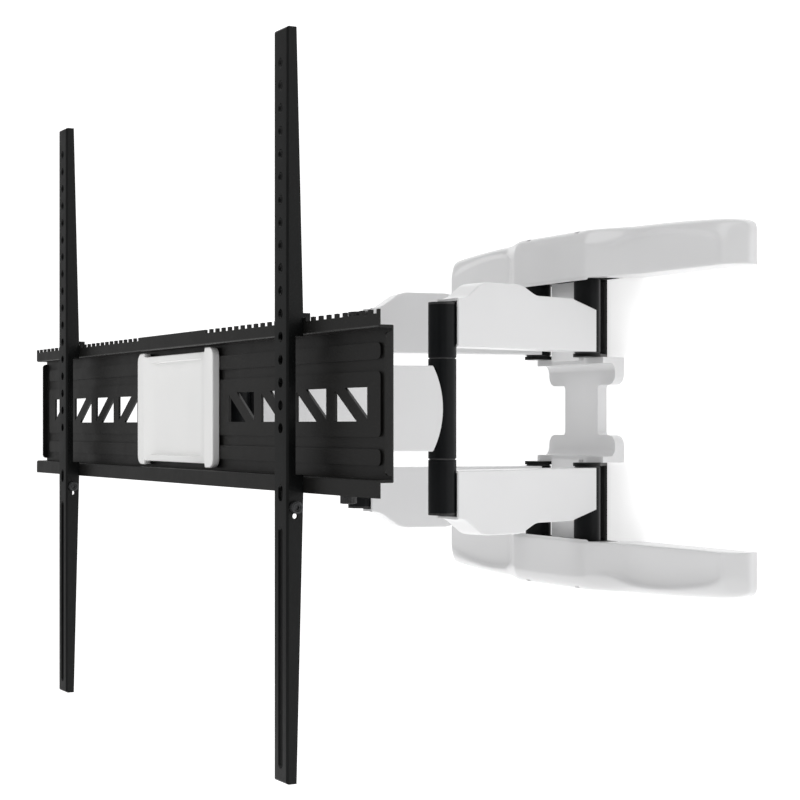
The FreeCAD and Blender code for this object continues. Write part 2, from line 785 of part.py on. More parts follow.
def add_bowed_rectangle(sketch, start, stop, high, bow):
    """A rectangle from start to stop along -Y whose two ends swell outwards by the bow."""
    corners = [(-(start + bow), -high), (-(start + bow), high), (-(stop - bow), high), (-(stop - bow), -high)]
    places = [Vector(as_size(x).value, as_size(y).value, 0) for x, y in corners]
    near_top = Vector(-start.value, 0, 0)
    far_top = Vector(-stop.value, 0, 0)
    sketch.addGeometry(Part.Arc(places[0], near_top, places[1]), False)
    sketch.addGeometry(Part.LineSegment(places[1], places[2]), False)
    sketch.addGeometry(Part.Arc(places[2], far_top, places[3]), False)
    sketch.addGeometry(Part.LineSegment(places[3], places[0]), False)
    # An arc's first end is the one that its own circle meets first, anticlockwise
    sketch.addConstraint(Sketcher.Constraint("Coincident", 0, 2, 1, 1))
    sketch.addConstraint(Sketcher.Constraint("Coincident", 1, 2, 2, 1))
    sketch.addConstraint(Sketcher.Constraint("Coincident", 2, 2, 3, 1))
    sketch.addConstraint(Sketcher.Constraint("Coincident", 3, 2, 0, 1))
    pin_point(sketch, 1, 1, *corners[1])
    pin_point(sketch, 1, 2, *corners[2])
    pin_point(sketch, 3, 1, *corners[3])
    pin_point(sketch, 3, 2, *corners[0])
    radius = (high * high + bow * bow) / (2 * bow)
    for arc in (0, 2):
        index = sketch.addConstraint(Sketcher.Constraint("Radius", arc, radius.value))
        sketch.setExpression(f"Constraints[{index}]", radius.text)


def arm_placements(way):
    """Where one side's wall arm and front arm stand at rest."""
    pivot = Vector(way * s.pivot_x.value, -s.pivot_depth.value, 0)
    elbow = Vector(way * elbow_x, elbow_y, 0)
    outward = Rotation(UP, way * s.splay_angle.value)
    inward = Rotation(UP, -way * s.splay_angle.value)
    return Placement(pivot, outward), Placement(elbow, inward)


def one_side(side, way):
    at_wall, at_elbow = arm_placements(way)
    turned = Placement(at_wall.Base, at_wall.Rotation.multiply(TURN_OVER))
    nodes = []
    for level, place in (("upper", at_wall), ("lower", turned)):
        for make, label in ((wall_arm, f"{side}_{level}_arm"), (wall_arm_cover, f"{side}_{level}_arm_cover")):
            body = make(label)
            body.Placement = place
            nodes.append(body)
    for make, label in ((front_arm, f"{side}_front_arm"), (front_arm_cover, f"{side}_front_arm_cover")):
        body = make(label)
        body.Placement = at_elbow
        nodes.append(body)
    nodes.append(elbow_shaft(side, at_elbow))
    nodes.append(elbow_caps(side, at_elbow))
    nodes.append(wall_bushes(side, at_wall))
    nodes.append(elbow_bushes(side, at_elbow))
    head_gap = s.running_gap if way > 0 else s.open_pivot_gap
    nodes.append(head_bushes(side, at_elbow, s.pin_dia / 2 + head_gap))
    return nodes


def elbow_shaft(side, place):
    label = f"{side}_elbow_shaft"
    shaft = cylinder(label, s.pin_dia / 2, s.knuckle_high_z * 2, 0, 0, -s.knuckle_high_z)
    shaft.Label = label
    shaft.Placement.Base = place.Base + Vector(0, 0, -s.knuckle_high_z.value)
    for axis in "xy":
        shaft.setExpression(f"Placement.Base.{axis}", None)
    return shaft


def elbow_caps(side, place):
    """Two flat end caps that close the elbow tube."""
    caps = []
    for level, z in (("upper", s.knuckle_high_z), ("lower", -(s.knuckle_high_z + s.cap_thick))):
        caps.append(cylinder(f"{side}_{level}_cap", tube_radius, s.cap_thick, 0, 0, z))
    caps = group(f"{side}_elbow_caps", caps)
    caps.Placement = Placement(place.Base, Rotation())
    return caps


def wall_bushes(side, place):
    bushes = []
    for level, sign in (("upper", 1), ("lower", -1)):
        for end, z, way in (("low", wall_tube_low, -1), ("high", wall_tube_high, 1)):
            bushes.append(flanged_bush(f"{side}_{level}_{end}_bush", 0, 0, sign * z, sign * way, bush_hole))
    bushes = group(f"{side}_wall_bushes", bushes)
    bushes.Placement = Placement(place.Base, Rotation())
    return bushes


def elbow_bushes(side, place):
    bushes = [flanged_bush(f"{side}_elbow_bush_{way + 2}", 0, 0, way * elbow_tube_half, way, bush_hole)
              for way in (-1, 1)]
    bushes = group(f"{side}_elbow_bushes", bushes)
    bushes.Placement = Placement(place.Base, Rotation())
    return bushes


def head_bushes(side, place, hole):
    bushes = [flanged_bush(f"{side}_head_bush_{way + 2}", 0, -s.arm_length, way * s.head_tube_half_height,
                           way, hole) for way in (-1, 1)]
    bushes = group(f"{side}_head_bushes", bushes)
    bushes.Placement = place
    return bushes


# Head, drawn with the head pivots on its X axis

def yoke_plates():
    """Two link plates, above and below, that tie the three head pins together."""
    plates = []
    for level, z in (("upper", yoke_low), ("lower", -yoke_high)):
        bar = doc.addObject("Part::Box", f"{level}_yoke_bar")
        bind(bar, "Length", s.pivot_x * 2)
        bind(bar, "Width", s.yoke_radius * 2)
        bind(bar, "Height", s.yoke_thick)
        bind(bar, "Placement.Base.x", -s.pivot_x)
        bind(bar, "Placement.Base.y", -s.yoke_radius)
        bind(bar, "Placement.Base.z", z)
        ends = [cylinder(f"{level}_yoke_end_{way + 2}", s.yoke_radius, s.yoke_thick, way * s.pivot_x, 0, z)
                for way in (-1, 1)]
        blank = fuse(f"{level}_yoke_blank", [bar] + ends)
        holes = [cylinder(f"{level}_yoke_hole_{way + 2}", pin_hole, s.yoke_thick, way * s.pivot_x, 0, z)
                 for way in (-1, 0, 1)]
        plates.append(cut(f"{level}_yoke", blank, fuse(f"{level}_yoke_holes", holes)))
    return group("yoke_plates", plates)


def headed_pin(name, x):
    """A pin through both yoke plates with a low round head at each end."""
    shank = cylinder(f"{name}_shank", s.pin_dia / 2, yoke_high * 2, x, 0, -yoke_high)
    heads = [cylinder(f"{name}_head_{way + 2}", s.pin_head_dia / 2, s.pin_head_height, x, 0, z)
             for way, z in ((-1, -(yoke_high + s.pin_head_height)), (1, yoke_high))]
    return fuse(name, [shank] + heads)


def head_pivot_pins():
    return group("head_pivot_pins", [headed_pin("right_head_pin", s.pivot_x),
                                     headed_pin("left_head_pin", -s.pivot_x)])


def swivel_pin():
    pin = headed_pin("swivel_pin", as_size(0))
    pin.Label = "swivel_pin"
    return pin


def swivel_block():
    """An upright barrel with a fork in front of it that holds the tilt bolt."""
    body = new_body("swivel_block")
    barrel = new_sketch(body, "barrel", "XY_Plane")
    add_circle(barrel, 0, 0, s.swivel_dia / 2)
    pad(body, barrel, s.head_tube_half_height * 2, both_ways=True)
    plate = new_sketch(body, "plate", "XZ_Plane", s.swivel_dia / 4)
    edge = s.tilt_ear_x + s.tilt_ear_thick
    high = s.swivel_plate_half_height
    add_rectangle(plate, -edge, edge, -high, high)
    pad(body, plate, s.swivel_plate_depth - s.swivel_dia / 4)
    for way, name in ((-1, "left"), (1, "right")):
        ear = new_sketch(body, f"{name}_ear", "YZ_Plane", way * (s.tilt_ear_x + s.tilt_ear_thick / 2))
        radius = s.tilt_ear_radius
        add_rectangle(ear, -s.tilt_depth, -(s.swivel_plate_depth - 1), -radius, radius)
        pad(body, ear, s.tilt_ear_thick, both_ways=True)
        eye = new_sketch(body, f"{name}_eye", "YZ_Plane", way * (s.tilt_ear_x + s.tilt_ear_thick / 2))
        add_circle(eye, -s.tilt_depth, 0, radius)
        pad(body, eye, s.tilt_ear_thick, both_ways=True)
    bore = new_sketch(body, "bore", "XY_Plane")
    add_circle(bore, 0, 0, bush_seat)
    pocket(body, bore, s.head_tube_half_height * 3, both_ways=True)
    tilt = new_sketch(body, "tilt", "YZ_Plane")
    add_circle(tilt, -s.tilt_depth, 0, s.tilt_bolt_dia / 2 + s.running_gap)
    pocket(body, tilt, edge * 3, both_ways=True)
    return body


def swivel_bushes():
    bushes = [flanged_bush(f"swivel_bush_{way + 2}", 0, 0, way * s.head_tube_half_height, way, bush_hole)
              for way in (-1, 1)]
    return group("swivel_bushes", bushes)


def tilt_bracket():
    """A folded fork behind the television plate that takes the tilt bolt."""
    body = new_body("tilt_bracket")
    base = new_sketch(body, "base", "XZ_Plane", panel_back - s.bracket_thick)
    wide, high = s.bracket_base_half_width, s.bracket_base_half_height
    add_rectangle(base, -wide, wide, -high, high)
    pad(body, base, s.bracket_thick)
    inner = s.tilt_ear_x + s.tilt_ear_thick + s.end_gap
    for way, name in ((-1, "left"), (1, "right")):
        ear = new_sketch(body, f"{name}_ear", "YZ_Plane", way * (inner + s.bracket_ear_thick / 2))
        radius = s.tilt_ear_radius
        add_rectangle(ear, -panel_back, -s.tilt_depth, -radius, radius)
        pad(body, ear, s.bracket_ear_thick, both_ways=True)
        eye = new_sketch(body, f"{name}_eye", "YZ_Plane", way * (inner + s.bracket_ear_thick / 2))
        add_circle(eye, -s.tilt_depth, 0, radius)
        pad(body, eye, s.bracket_ear_thick, both_ways=True)
    tilt = new_sketch(body, "tilt", "YZ_Plane")
    add_circle(tilt, -s.tilt_depth, 0, s.tilt_bolt_dia / 2 + s.fixed_gap)
    pocket(body, tilt, wide * 3, both_ways=True)
    bracket_bolt_holes(body, panel_back - s.bracket_thick, s.bracket_thick)
    return body


def tilt_bolt():
    """A bolt along X through both forks, and its nut."""
    reach = s.tilt_ear_x + s.tilt_ear_thick + s.end_gap + s.bracket_ear_thick
    shank = cylinder("tilt_shank", s.tilt_bolt_dia / 2, reach * 2 + s.tilt_nut_height)
    head = cylinder("tilt_head", s.tilt_head_dia / 2, s.tilt_head_height, z=-s.tilt_head_height)
    bolt = fuse("tilt_bolt", [head, shank])
    bolt.Label = "tilt_bolt"
    sideways = Rotation(Vector(0, 1, 0), 90)
    at = HEAD + Vector(-reach.value, -s.tilt_depth.value, 0)
    bolt.Placement = Placement(at, sideways)
    ring = doc.addObject("Part::Prism", "tilt_nut_blank")
    ring.Polygon = 6
    bind(ring, "Circumradius", s.tilt_head_dia / 2)
    bind(ring, "Height", s.tilt_nut_height)
    hole = cylinder("tilt_nut_hole", s.tilt_bolt_dia / 2 + s.fixed_gap, s.tilt_nut_height)
    nut = cut("tilt_nut", ring, hole)
    nut.Label = "tilt_nut"
    nut.Placement = Placement(at + Vector(2 * reach.value, 0, 0), sideways)
    return [bolt, nut]


def bracket_bolts():
    """Four round-headed bolts through the tilt bracket into the plate."""
    bolts = []
    for x in (-1, 1):
        for z in (-1, 1):
            name = f"bracket_bolt_{x + 2}{z + 2}"
            head = cylinder(f"{name}_head", s.bracket_bolt_head / 2, s.bracket_bolt_head_height)
            shank = cylinder(f"{name}_shank", s.bracket_bolt_dia / 2, s.bracket_thick + s.sheet_thick,
                             z=s.bracket_bolt_head_height)
            bolt = fuse(name, [head, shank])
            back = panel_back - s.bracket_thick - s.bracket_bolt_head_height
            place = Vector(x * s.bracket_bolt_x.value, -back.value, z * s.bracket_bolt_z.value)
            bolt.Placement = Placement(place, Rotation(Vector(1, 0, 0), 90))
            bolts.append(bolt)
    return group("bracket_bolts", bolts)


def bracket_bolt_holes(body, depth, length):
    holes = new_sketch(body, "bolt_holes", "XZ_Plane", depth)
    for x in (-1, 1):
        for z in (-1, 1):
            add_circle(holes, x * s.bracket_bolt_x, z * s.bracket_bolt_z, s.bracket_bolt_dia / 2 + s.fixed_gap)
    pocket(body, holes, length, backward=True)


def lip_knob():
    """A short round knob under the plate's lower lip."""
    knob = cylinder("lip_knob", s.knob_dia / 2, s.knob_height)
    knob.Label = "lip_knob"
    place = Vector((s.panel_half_length - s.knob_inset).value, -(lip_front - s.knob_dia / 2).value, -(s.lip_top_z + s.knob_height).value)
    for axis in "xyz":
        knob.setExpression(f"Placement.Base.{axis}", None)
    knob.Placement = Placement(HEAD + place, Rotation())
    return knob


# Television plate

def tv_plate():
    """One folded sheet: a ribbed panel between two lips, the upper one toothed."""
    body = new_body("tv_plate")
    thick = s.sheet_thick
    back, front, lip = panel_back, panel_front, lip_front
    high = s.panel_half_height
    panel = new_sketch(body, "panel", "XZ_Plane", back)
    length = s.panel_half_length
    add_rectangle(panel, -length, length, -high, high)
    pad(body, panel, thick)
    for way, name in ((-1, "lower"), (1, "upper")):
        shelf = new_sketch(body, f"{name}_lip", "YZ_Plane")
        top = s.lip_top_z
        outline = [(-back, high), (-back, high - thick), (-lip, high - thick), (-lip, top),
                   (-(lip - thick), top), (-(lip - thick), high)]
        add_polygon(shelf, [(y, way * z) for y, z in outline])
        pad(body, shelf, length * 2, both_ways=True)
    for way, name in ((-1, "left"), (1, "right")):
        end = new_sketch(body, f"{name}_return", "YZ_Plane", way * (length - thick / 2))
        tall = high - thick - s.end_relief
        add_rectangle(end, -(front + s.end_return), -back, -tall, tall)
        pad(body, end, thick, both_ways=True)
    round_edges(body, s.end_return_round, lambda edge, at: runs_along(edge, Vector(1, 0, 0))
                and near(at.y, -(front + s.end_return)))
    add_gaps(body)
    add_embossing(body)
    add_windows(body)
    bracket_bolt_holes(body, panel_back, s.sheet_thick + s.emboss_height)
    return body


def add_gaps(body):
    """Two rows of gaps cut down into the upper lip, with a plain stretch between them."""
    for way, name in ((1, "right"), (-1, "left")):
        gap = new_sketch(body, f"{name}_gap", "XZ_Plane", lip_front)
        add_rectangle(gap, way * s.gap_start_x, way * (s.gap_start_x + s.gap_width),
                      s.lip_top_z - s.gap_depth, s.lip_top_z + 1)
        first = pocket(body, gap, s.sheet_thick)
        pattern(body, first, gap, "H_Axis", s.gap_pitch, s.gap_count, backward=way < 0)


def add_embossing(body):
    """A raised field round the windows and a raised bead above and below it."""
    bands = ((-s.field_half_height, s.field_half_height), (s.bead_low_z, s.bead_high_z),
             (-s.bead_high_z, -s.bead_low_z))
    length = s.field_half_length
    for number, (low, high) in enumerate(bands):
        band = new_sketch(body, f"band_{number}", "XZ_Plane", panel_front)
        add_round_rectangle(band, length, low, high, s.emboss_round)
        pad(body, band, s.emboss_height)
    for number, (low, high) in enumerate(bands):
        inset = s.emboss_height
        hollow = new_sketch(body, f"hollow_{number}", "XZ_Plane", panel_back)
        add_round_rectangle(hollow, length - inset, low + inset, high - inset, s.emboss_round - inset)
        pocket(body, hollow, s.emboss_height, backward=True)


def add_windows(body):
    """Braced windows: each is two triangles either side of a slanting brace."""
    wide, high = s.window_half_width, s.window_half_height
    run, rise = s.brace_run, s.brace_rise
    for way, name in ((1, "right"), (-1, "left")):
        sketch = new_sketch(body, f"{name}_windows", "XZ_Plane")
        for step in range(int(s.window_count.value)):
            middle = way * (s.window_first_x + s.window_pitch * step)
            lower = [(-wide, high - rise), (-wide, -high), (wide - run, -high)]
            upper = [(wide, rise - high), (wide, high), (run - wide, high)]
            for triangle in (lower, upper):
                add_polygon(sketch, [(middle + way * x, z) for x, z in triangle])
        pocket(body, sketch, backward=True)


def front_cover():
    """A thin moulded tray over the middle of the plate: two broad rims and a dished floor."""
    body = new_body("front_cover")
    base = panel_front + s.emboss_height
    floor, front = base + s.tray_floor, base + s.tray_depth
    wide, high = s.tray_half_width, s.tray_half_height
    inner = wide - s.tray_rim
    foot = inner - s.tray_slope
    dish = new_sketch(body, "dish", "XY_Plane")
    half = [(foot, -floor), (inner, -front), (inner, -base)]
    add_polygon(dish, [(-x, y) for x, y in reversed(half)] + half)
    pad(body, dish, s.tray_ledge_half_height * 2, both_ways=True)
    for way, name in ((-1, "left"), (1, "right")):
        rim = new_sketch(body, f"{name}_rim", "XZ_Plane", base)
        add_polygon(rim, [(way * inner, -high), (way * wide, -high, s.tray_round),
                          (way * wide, high, s.tray_round), (way * inner, high)])
        pad(body, rim, s.tray_depth)
    for way, name in ((-1, "lower"), (1, "upper")):
        ledge = new_sketch(body, f"{name}_ledge", "XZ_Plane", base)
        edge = s.tray_ledge_half_height
        add_rectangle(ledge, -inner, inner, way * (edge - s.tray_ledge), way * edge)
        pad(body, ledge, s.tray_ledge_depth)
    round_edges(body, s.tray_edge, lambda edge, at: near(at.y, -front) and abs(at.x) > (inner + 1).value)
    return body


# Rails

def rail(label):
    """A folded channel with holes down its face, hooked on the plate's upper lip."""
    body = new_body(label)
    half = s.rail_half_length
    face = rail_front
    side = new_sketch(body, "side", "YZ_Plane")
    tip, waist, full = face - s.rail_tip_depth, face - s.rail_waist_depth, lip_front
    top, low = s.lip_top_z, s.rail_waist_z
    upper = [(-tip, half), (-full, top), (-full, low), (-waist, low)]
    add_polygon(side, [(-face, -half), (-face, half)] + upper + [(y, -z) for y, z in reversed(upper)])
    pad(body, side, s.rail_width, both_ways=True)
    channel = new_sketch(body, "channel", "YZ_Plane")
    inside = face - s.rail_thick
    add_rectangle(channel, -inside, 0, -(half + 1), half + 1)
    pocket(body, channel, s.rail_width - s.rail_thick * 2, both_ways=True)
    add_hooks(body)
    hole = new_sketch(body, "hole", "XZ_Plane", face)
    add_circle(hole, 0, half - s.hole_margin, s.hole_dia / 2)
    first = pocket(body, hole, s.rail_thick)
    pattern(body, first, hole, "V_Axis", s.hole_pitch, s.hole_count, backward=True)
    slots = new_sketch(body, "slots", "XZ_Plane", face)
    add_slot(slots, 0, -s.lip_top_z, s.short_slot_length, s.hole_dia, upright=True)
    begin, end = s.lip_top_z + s.slot_drop, half - s.slot_margin
    add_slot(slots, 0, -((begin + end) / 2), end - begin, s.hole_dia, upright=True)
    pocket(body, slots, s.rail_thick)
    eye = new_sketch(body, "eye", "YZ_Plane")
    add_circle(eye, -(face - s.rail_depth / 2), -(s.lip_top_z + s.eye_drop), s.eye_dia / 2)
    pocket(body, eye, s.rail_width * 2, both_ways=True)
    return body


def add_hooks(body):
    """Hooks on both flanges that go over the upper lip and down behind it."""
    thick = s.rail_thick
    for way, name in ((-1, "left"), (1, "right")):
        flange = new_sketch(body, f"{name}_hook", "YZ_Plane", way * (s.rail_width / 2 - thick / 2))
        back = lip_front - s.sheet_thick - s.end_gap
        tail = back - s.hook_reach
        low = s.lip_top_z - s.hook_drop
        seat = s.lip_top_z + s.end_gap
        crown = seat + s.hook_height
        front = lip_front + s.rail_thick
        add_polygon(flange, [(-front, seat), (-back, seat), (-back, low), (-tail, low), (-tail, crown),
                             (-front, crown)])
        pad(body, flange, thick, both_ways=True)


def rail_lock_screws():
    """One thumb screw on each rail, under the plate's lower lip."""
    screws = []
    for side, way in SIDES.items():
        x = way * s.rail_x.value + s.rail_width.value / 2
        head = cylinder(f"{side}_lock_head", s.lock_dia / 2, s.lock_height)
        screws.append(head)
        y = head_y - (rail_front - s.rail_depth / 2).value
        for axis in "xyz":
            head.setExpression(f"Placement.Base.{axis}", None)
        head.Placement = Placement(Vector(x, y, -(s.lip_top_z + s.lock_drop).value), Rotation(Vector(0, 1, 0), 90))
    return group("rail_lock_screws", screws)


def build():
    nodes = [centre_post(), centre_cover(), wall_pivot_pins()]
    for level, place in (("upper", Placement()), ("lower", Placement(Vector(), TURN_OVER))):
        for make, label in ((wall_bar, f"{level}_wall_bar"), (pivot_bracket, f"{level}_pivot_bracket"),
                            (wall_cover, f"{level}_wall_cover")):
            body = make(label)
            body.Placement = place
            nodes.append(body)
    for side, way in SIDES.items():
        nodes += one_side(side, way)
    for make in (yoke_plates, head_pivot_pins, swivel_pin, swivel_block, swivel_bushes, tilt_bracket,
                 bracket_bolts, tv_plate, front_cover):
        node = make()
        node.Placement = Placement(HEAD, Rotation())
        nodes.append(node)
    nodes += tilt_bolt()
    for side, way in SIDES.items():
        body = rail(f"{side}_rail")
        body.Placement = Placement(HEAD + Vector(way * s.rail_x.value, 0, 0), Rotation())
        nodes.append(body)
    nodes.append(rail_lock_screws())
    nodes.append(lip_knob())
    doc.recompute()
    return nodes


def check(nodes):
    for item in doc.Objects:
        if "Invalid" in item.State or "Error" in item.State:
            raise RuntimeError(f"{item.Label} failed to build: {item.State}")
    for node in nodes:
        if node.Shape.isNull() or not node.Shape.isValid() or not node.Shape.Solids:
            raise RuntimeError(f"{node.Label} has no valid solid")


def export(nodes):
    os.makedirs("parts", exist_ok=True)
    for node in nodes:
        node.Shape.exportStep(f"parts/{node.Label}.step")


all_nodes = build()
check(all_nodes)
export(all_nodes)
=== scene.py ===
"""Looks of the swivel television wall mount: finishes, covers, softened edges, small parts and the studio."""

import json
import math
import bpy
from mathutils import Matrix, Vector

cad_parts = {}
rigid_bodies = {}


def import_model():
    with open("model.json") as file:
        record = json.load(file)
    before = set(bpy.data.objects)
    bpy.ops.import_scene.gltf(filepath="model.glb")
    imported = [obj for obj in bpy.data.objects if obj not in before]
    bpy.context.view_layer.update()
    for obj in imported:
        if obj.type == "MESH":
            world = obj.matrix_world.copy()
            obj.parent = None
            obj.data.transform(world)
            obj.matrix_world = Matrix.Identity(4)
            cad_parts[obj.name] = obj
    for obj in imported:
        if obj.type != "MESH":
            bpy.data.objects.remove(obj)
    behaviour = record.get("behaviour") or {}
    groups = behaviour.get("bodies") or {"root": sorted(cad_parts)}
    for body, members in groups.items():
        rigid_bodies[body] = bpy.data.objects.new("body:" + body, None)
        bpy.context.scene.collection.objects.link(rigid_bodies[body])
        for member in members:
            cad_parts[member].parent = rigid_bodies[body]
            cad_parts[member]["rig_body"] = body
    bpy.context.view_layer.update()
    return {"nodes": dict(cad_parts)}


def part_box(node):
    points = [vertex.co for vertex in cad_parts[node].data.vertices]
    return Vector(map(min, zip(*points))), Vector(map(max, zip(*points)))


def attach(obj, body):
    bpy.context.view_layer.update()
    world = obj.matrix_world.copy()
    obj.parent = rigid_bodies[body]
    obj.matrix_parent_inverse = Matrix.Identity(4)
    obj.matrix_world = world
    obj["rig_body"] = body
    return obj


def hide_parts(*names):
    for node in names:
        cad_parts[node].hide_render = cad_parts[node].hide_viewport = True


bl_info = {
    "name": "Swivel television wall mount",
    "version": (1, 0, 0),
    "blender": (4, 5, 0),
    "location": "View3D > Sidebar > Wall mount",
    "description": "Dresses the wall mount's solids and sets up its studio",
    "category": "Object",
}

import bpy
from mathutils import Matrix, Vector

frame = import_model()

SIDES = ("right", "left")
LEVELS = ("upper", "lower")


# Sizes and colours

# What every colour setting shares
COLOUR = {"subtype": "COLOR", "size": 3, "min": 0.0, "max": 1.0}


class WallMountColours(bpy.types.PropertyGroup):
    """Colours of the mount's finishes."""

    moulding: bpy.props.FloatVectorProperty(
        name="Mouldings", description="Gloss white of the covers",
        default=(0.79, 0.79, 0.795), **COLOUR)
    # Painted light: the tray is the covers' gloss white plastic, set brighter here to stand in for the light
    # that falls on it
    tray: bpy.props.FloatVectorProperty(
        name="Tray", description="Gloss white of the tray on the plate",
        default=(0.97, 0.97, 0.962), **COLOUR)
    sheet: bpy.props.FloatVectorProperty(
        name="Plate", description="Powder coat of the pierced television plate",
        default=(0.0075, 0.0073, 0.0069), **COLOUR)
    rail: bpy.props.FloatVectorProperty(
        name="Rails", description="Powder coat of the two hole rails",
        default=(0.0036, 0.0040, 0.0040), **COLOUR)
    tube: bpy.props.FloatVectorProperty(
        name="Tubes", description="Satin paint of the pivot tubes and arms",
        default=(0.006, 0.0066, 0.0072), **COLOUR)
    knob: bpy.props.FloatVectorProperty(
        name="Knob and caps", description="Black plastic of the knob and the tube caps",
        default=(0.018, 0.018, 0.019), **COLOUR)
    screw: bpy.props.FloatVectorProperty(
        name="Screws", description="Blackened steel of the thumb screws",
        default=(0.040, 0.041, 0.043), **COLOUR)
    bush: bpy.props.FloatVectorProperty(
        name="Bushes", description="Dark plastic of the pivot bushes",
        default=(0.007, 0.007, 0.007), **COLOUR)
    plating: bpy.props.FloatVectorProperty(
        name="Plating", description="Zinc plating of pins and bolts",
        default=(0.45, 0.45, 0.46), **COLOUR)


class WallMountSizes(bpy.types.PropertyGroup):
    """Sizes of the covers, the folds, the softened edges, the thumb screws and the caps."""

    moulding_edge: bpy.props.FloatProperty(
        name="Moulding edge", description="Rounding of the white mouldings' edges",
        unit="LENGTH", min=0.0001, default=0.0012)
    sheet_edge: bpy.props.FloatProperty(
        name="Plate edge", description="Rounding of the plate's cut and folded edges",
        unit="LENGTH", min=0.0001, default=0.0005)
    rail_edge: bpy.props.FloatProperty(
        name="Rail edge", description="Rounding of the rails' cut edges",
        unit="LENGTH", min=0.0001, default=0.0004)
    steel_edge: bpy.props.FloatProperty(
        name="Steel edge", description="Rounding of cut steel edges",
        unit="LENGTH", min=0.0001, default=0.0004)
    grip_teeth: bpy.props.IntProperty(
        name="Grip teeth", description="Teeth round a thumb screw", min=8, default=20)
    grip_depth: bpy.props.FloatProperty(
        name="Grip depth", description="Depth of the grooves between the teeth",
        unit="LENGTH", min=0.0001, default=0.0004)
    socket: bpy.props.FloatProperty(
        name="Socket", description="Width over the corners of a thumb screw's socket",
        unit="LENGTH", min=0.001, default=0.0046)
    scoop_depth: bpy.props.FloatProperty(
        name="Scoop", description="How far the wall covers' wings fall back under the brow",
        unit="LENGTH", min=0.0, default=0.006)
    cover_wall: bpy.props.FloatProperty(
        name="Cover wall", description="Wall thickness of the wall covers and the centre cover",
        unit="LENGTH", min=0.0005, default=0.0022)
    notch_width: bpy.props.FloatProperty(
        name="Notch", description="Width of the notches in the wall covers' top edge",
        unit="LENGTH", min=0.001, default=0.009)
    sheet_bend: bpy.props.FloatProperty(
        name="Sheet bend", description="Outer radius of the folds in plate and rails",
        unit="LENGTH", min=0.0005, default=0.0023)
    bar_clearance: bpy.props.FloatProperty(
        name="Bar clearance", description="How far the wall bars stay under the covers' falling tops",
        unit="LENGTH", min=0.0, default=0.0065)
    post_share: bpy.props.FloatProperty(
        name="Post width", description="Share of the post's width that is kept behind the waist",
        subtype="FACTOR", min=0.2, max=1.0, default=0.6)
    waist_half_width: bpy.props.FloatProperty(
        name="Waist", description="Half the width of the centre cover's waist",
        unit="LENGTH", min=0.02, default=0.033)
    waist_depth: bpy.props.FloatProperty(
        name="Waist depth", description="Depth of the centre cover's waist",
        unit="LENGTH", min=0.008, default=0.0127)
    ledge_half_width: bpy.props.FloatProperty(
        name="Ledge", description="Half the width of the centre cover's ledges",
        unit="LENGTH", min=0.04, default=0.067)
    ledge_depth: bpy.props.FloatProperty(
        name="Ledge depth", description="Depth of the centre cover's ledges",
        unit="LENGTH", min=0.02, default=0.030)
    web_share: bpy.props.FloatProperty(
        name="Web width", description="Share of the pivot brackets' web that is kept",
        subtype="FACTOR", min=0.5, max=1.0, default=0.76)
    nose_shift: bpy.props.FloatProperty(
        name="Nose slope", description="How far the slope at an arm cover's wall end is drawn out",
        unit="LENGTH", min=0.0, default=0.020)
    rail_step: bpy.props.FloatProperty(
        name="Rail step", description="Height where a rail narrows between the lips",
        unit="LENGTH", min=0.04, default=0.0605)
    flange_step: bpy.props.FloatProperty(
        name="Flange step", description="How far a bush's flange stays inside the tube's skin",
        unit="LENGTH", min=0.0, default=0.0012)
    cap_rim: bpy.props.FloatProperty(
        name="Cap rim", description="Rounding of an elbow cap's rim",
        unit="LENGTH", min=0.0001, default=0.0012)


class WallMountStage(bpy.types.PropertyGroup):
    """The studio: camera, wall, floor and lights."""

    camera_place: bpy.props.FloatVectorProperty(
        name="Camera", description="Where the camera stands",
        subtype="XYZ", unit="LENGTH", size=3, default=(1.692, -1.197, -0.017))
    camera_turn: bpy.props.FloatProperty(
        name="Turn", description="Turn of the level camera to the left of straight on",
        subtype="ANGLE", default=math.radians(60.92))
    lens: bpy.props.FloatProperty(
        name="Lens", description="Focal length on a 36 mm sensor, in millimetres", min=10.0, default=78.9)
    shift: bpy.props.FloatProperty(
        name="Shift", description="Upward shift of the frame, as a share of its width", default=0.031)
    wall_half_width: bpy.props.FloatProperty(
        name="Wall", description="Half the width of the pale wall",
        unit="LENGTH", min=1.0, default=4.5)
    floor_drop: bpy.props.FloatProperty(
        name="Floor", description="Drop of the floor under the mount's middle",
        unit="LENGTH", min=0.4, default=1.25)
    sky: bpy.props.FloatProperty(
        name="Room light", description="Strength of the light from all round", min=0.0, default=0.345)
    key: bpy.props.FloatProperty(
        name="Key", description="Power of the soft light above", unit="POWER", min=0.0, default=34.0)
    side: bpy.props.FloatProperty(
        name="Side", description="Power of the soft light at the side", unit="POWER", min=0.0, default=0.6)


# Finishes

# Places of the colour sockets on a Mix node
MIX_FIRST = 6
MIX_SECOND = 7
MIX_RESULT = 2


def set_inputs(node, values):
    """Values for a node's sockets that nothing is linked to."""
    for label, value in values.items():
        node.inputs[label].default_value = value


def new_group(name, inputs):
    """An empty shader node group: texture sizes go in, a height and a tone come out."""
    group = bpy.data.node_groups.new(name, "ShaderNodeTree")
    for label in inputs:
        group.interface.new_socket(name=label, in_out="INPUT", socket_type="NodeSocketFloat")
    for label in ("Height", "Tone"):
        group.interface.new_socket(name=label, in_out="OUTPUT", socket_type="NodeSocketFloat")
    start = group.nodes.new("NodeGroupInput")
    end = group.nodes.new("NodeGroupOutput")
    place = group.nodes.new("ShaderNodeTexCoord")
    return group, start, end, place.outputs["Object"]


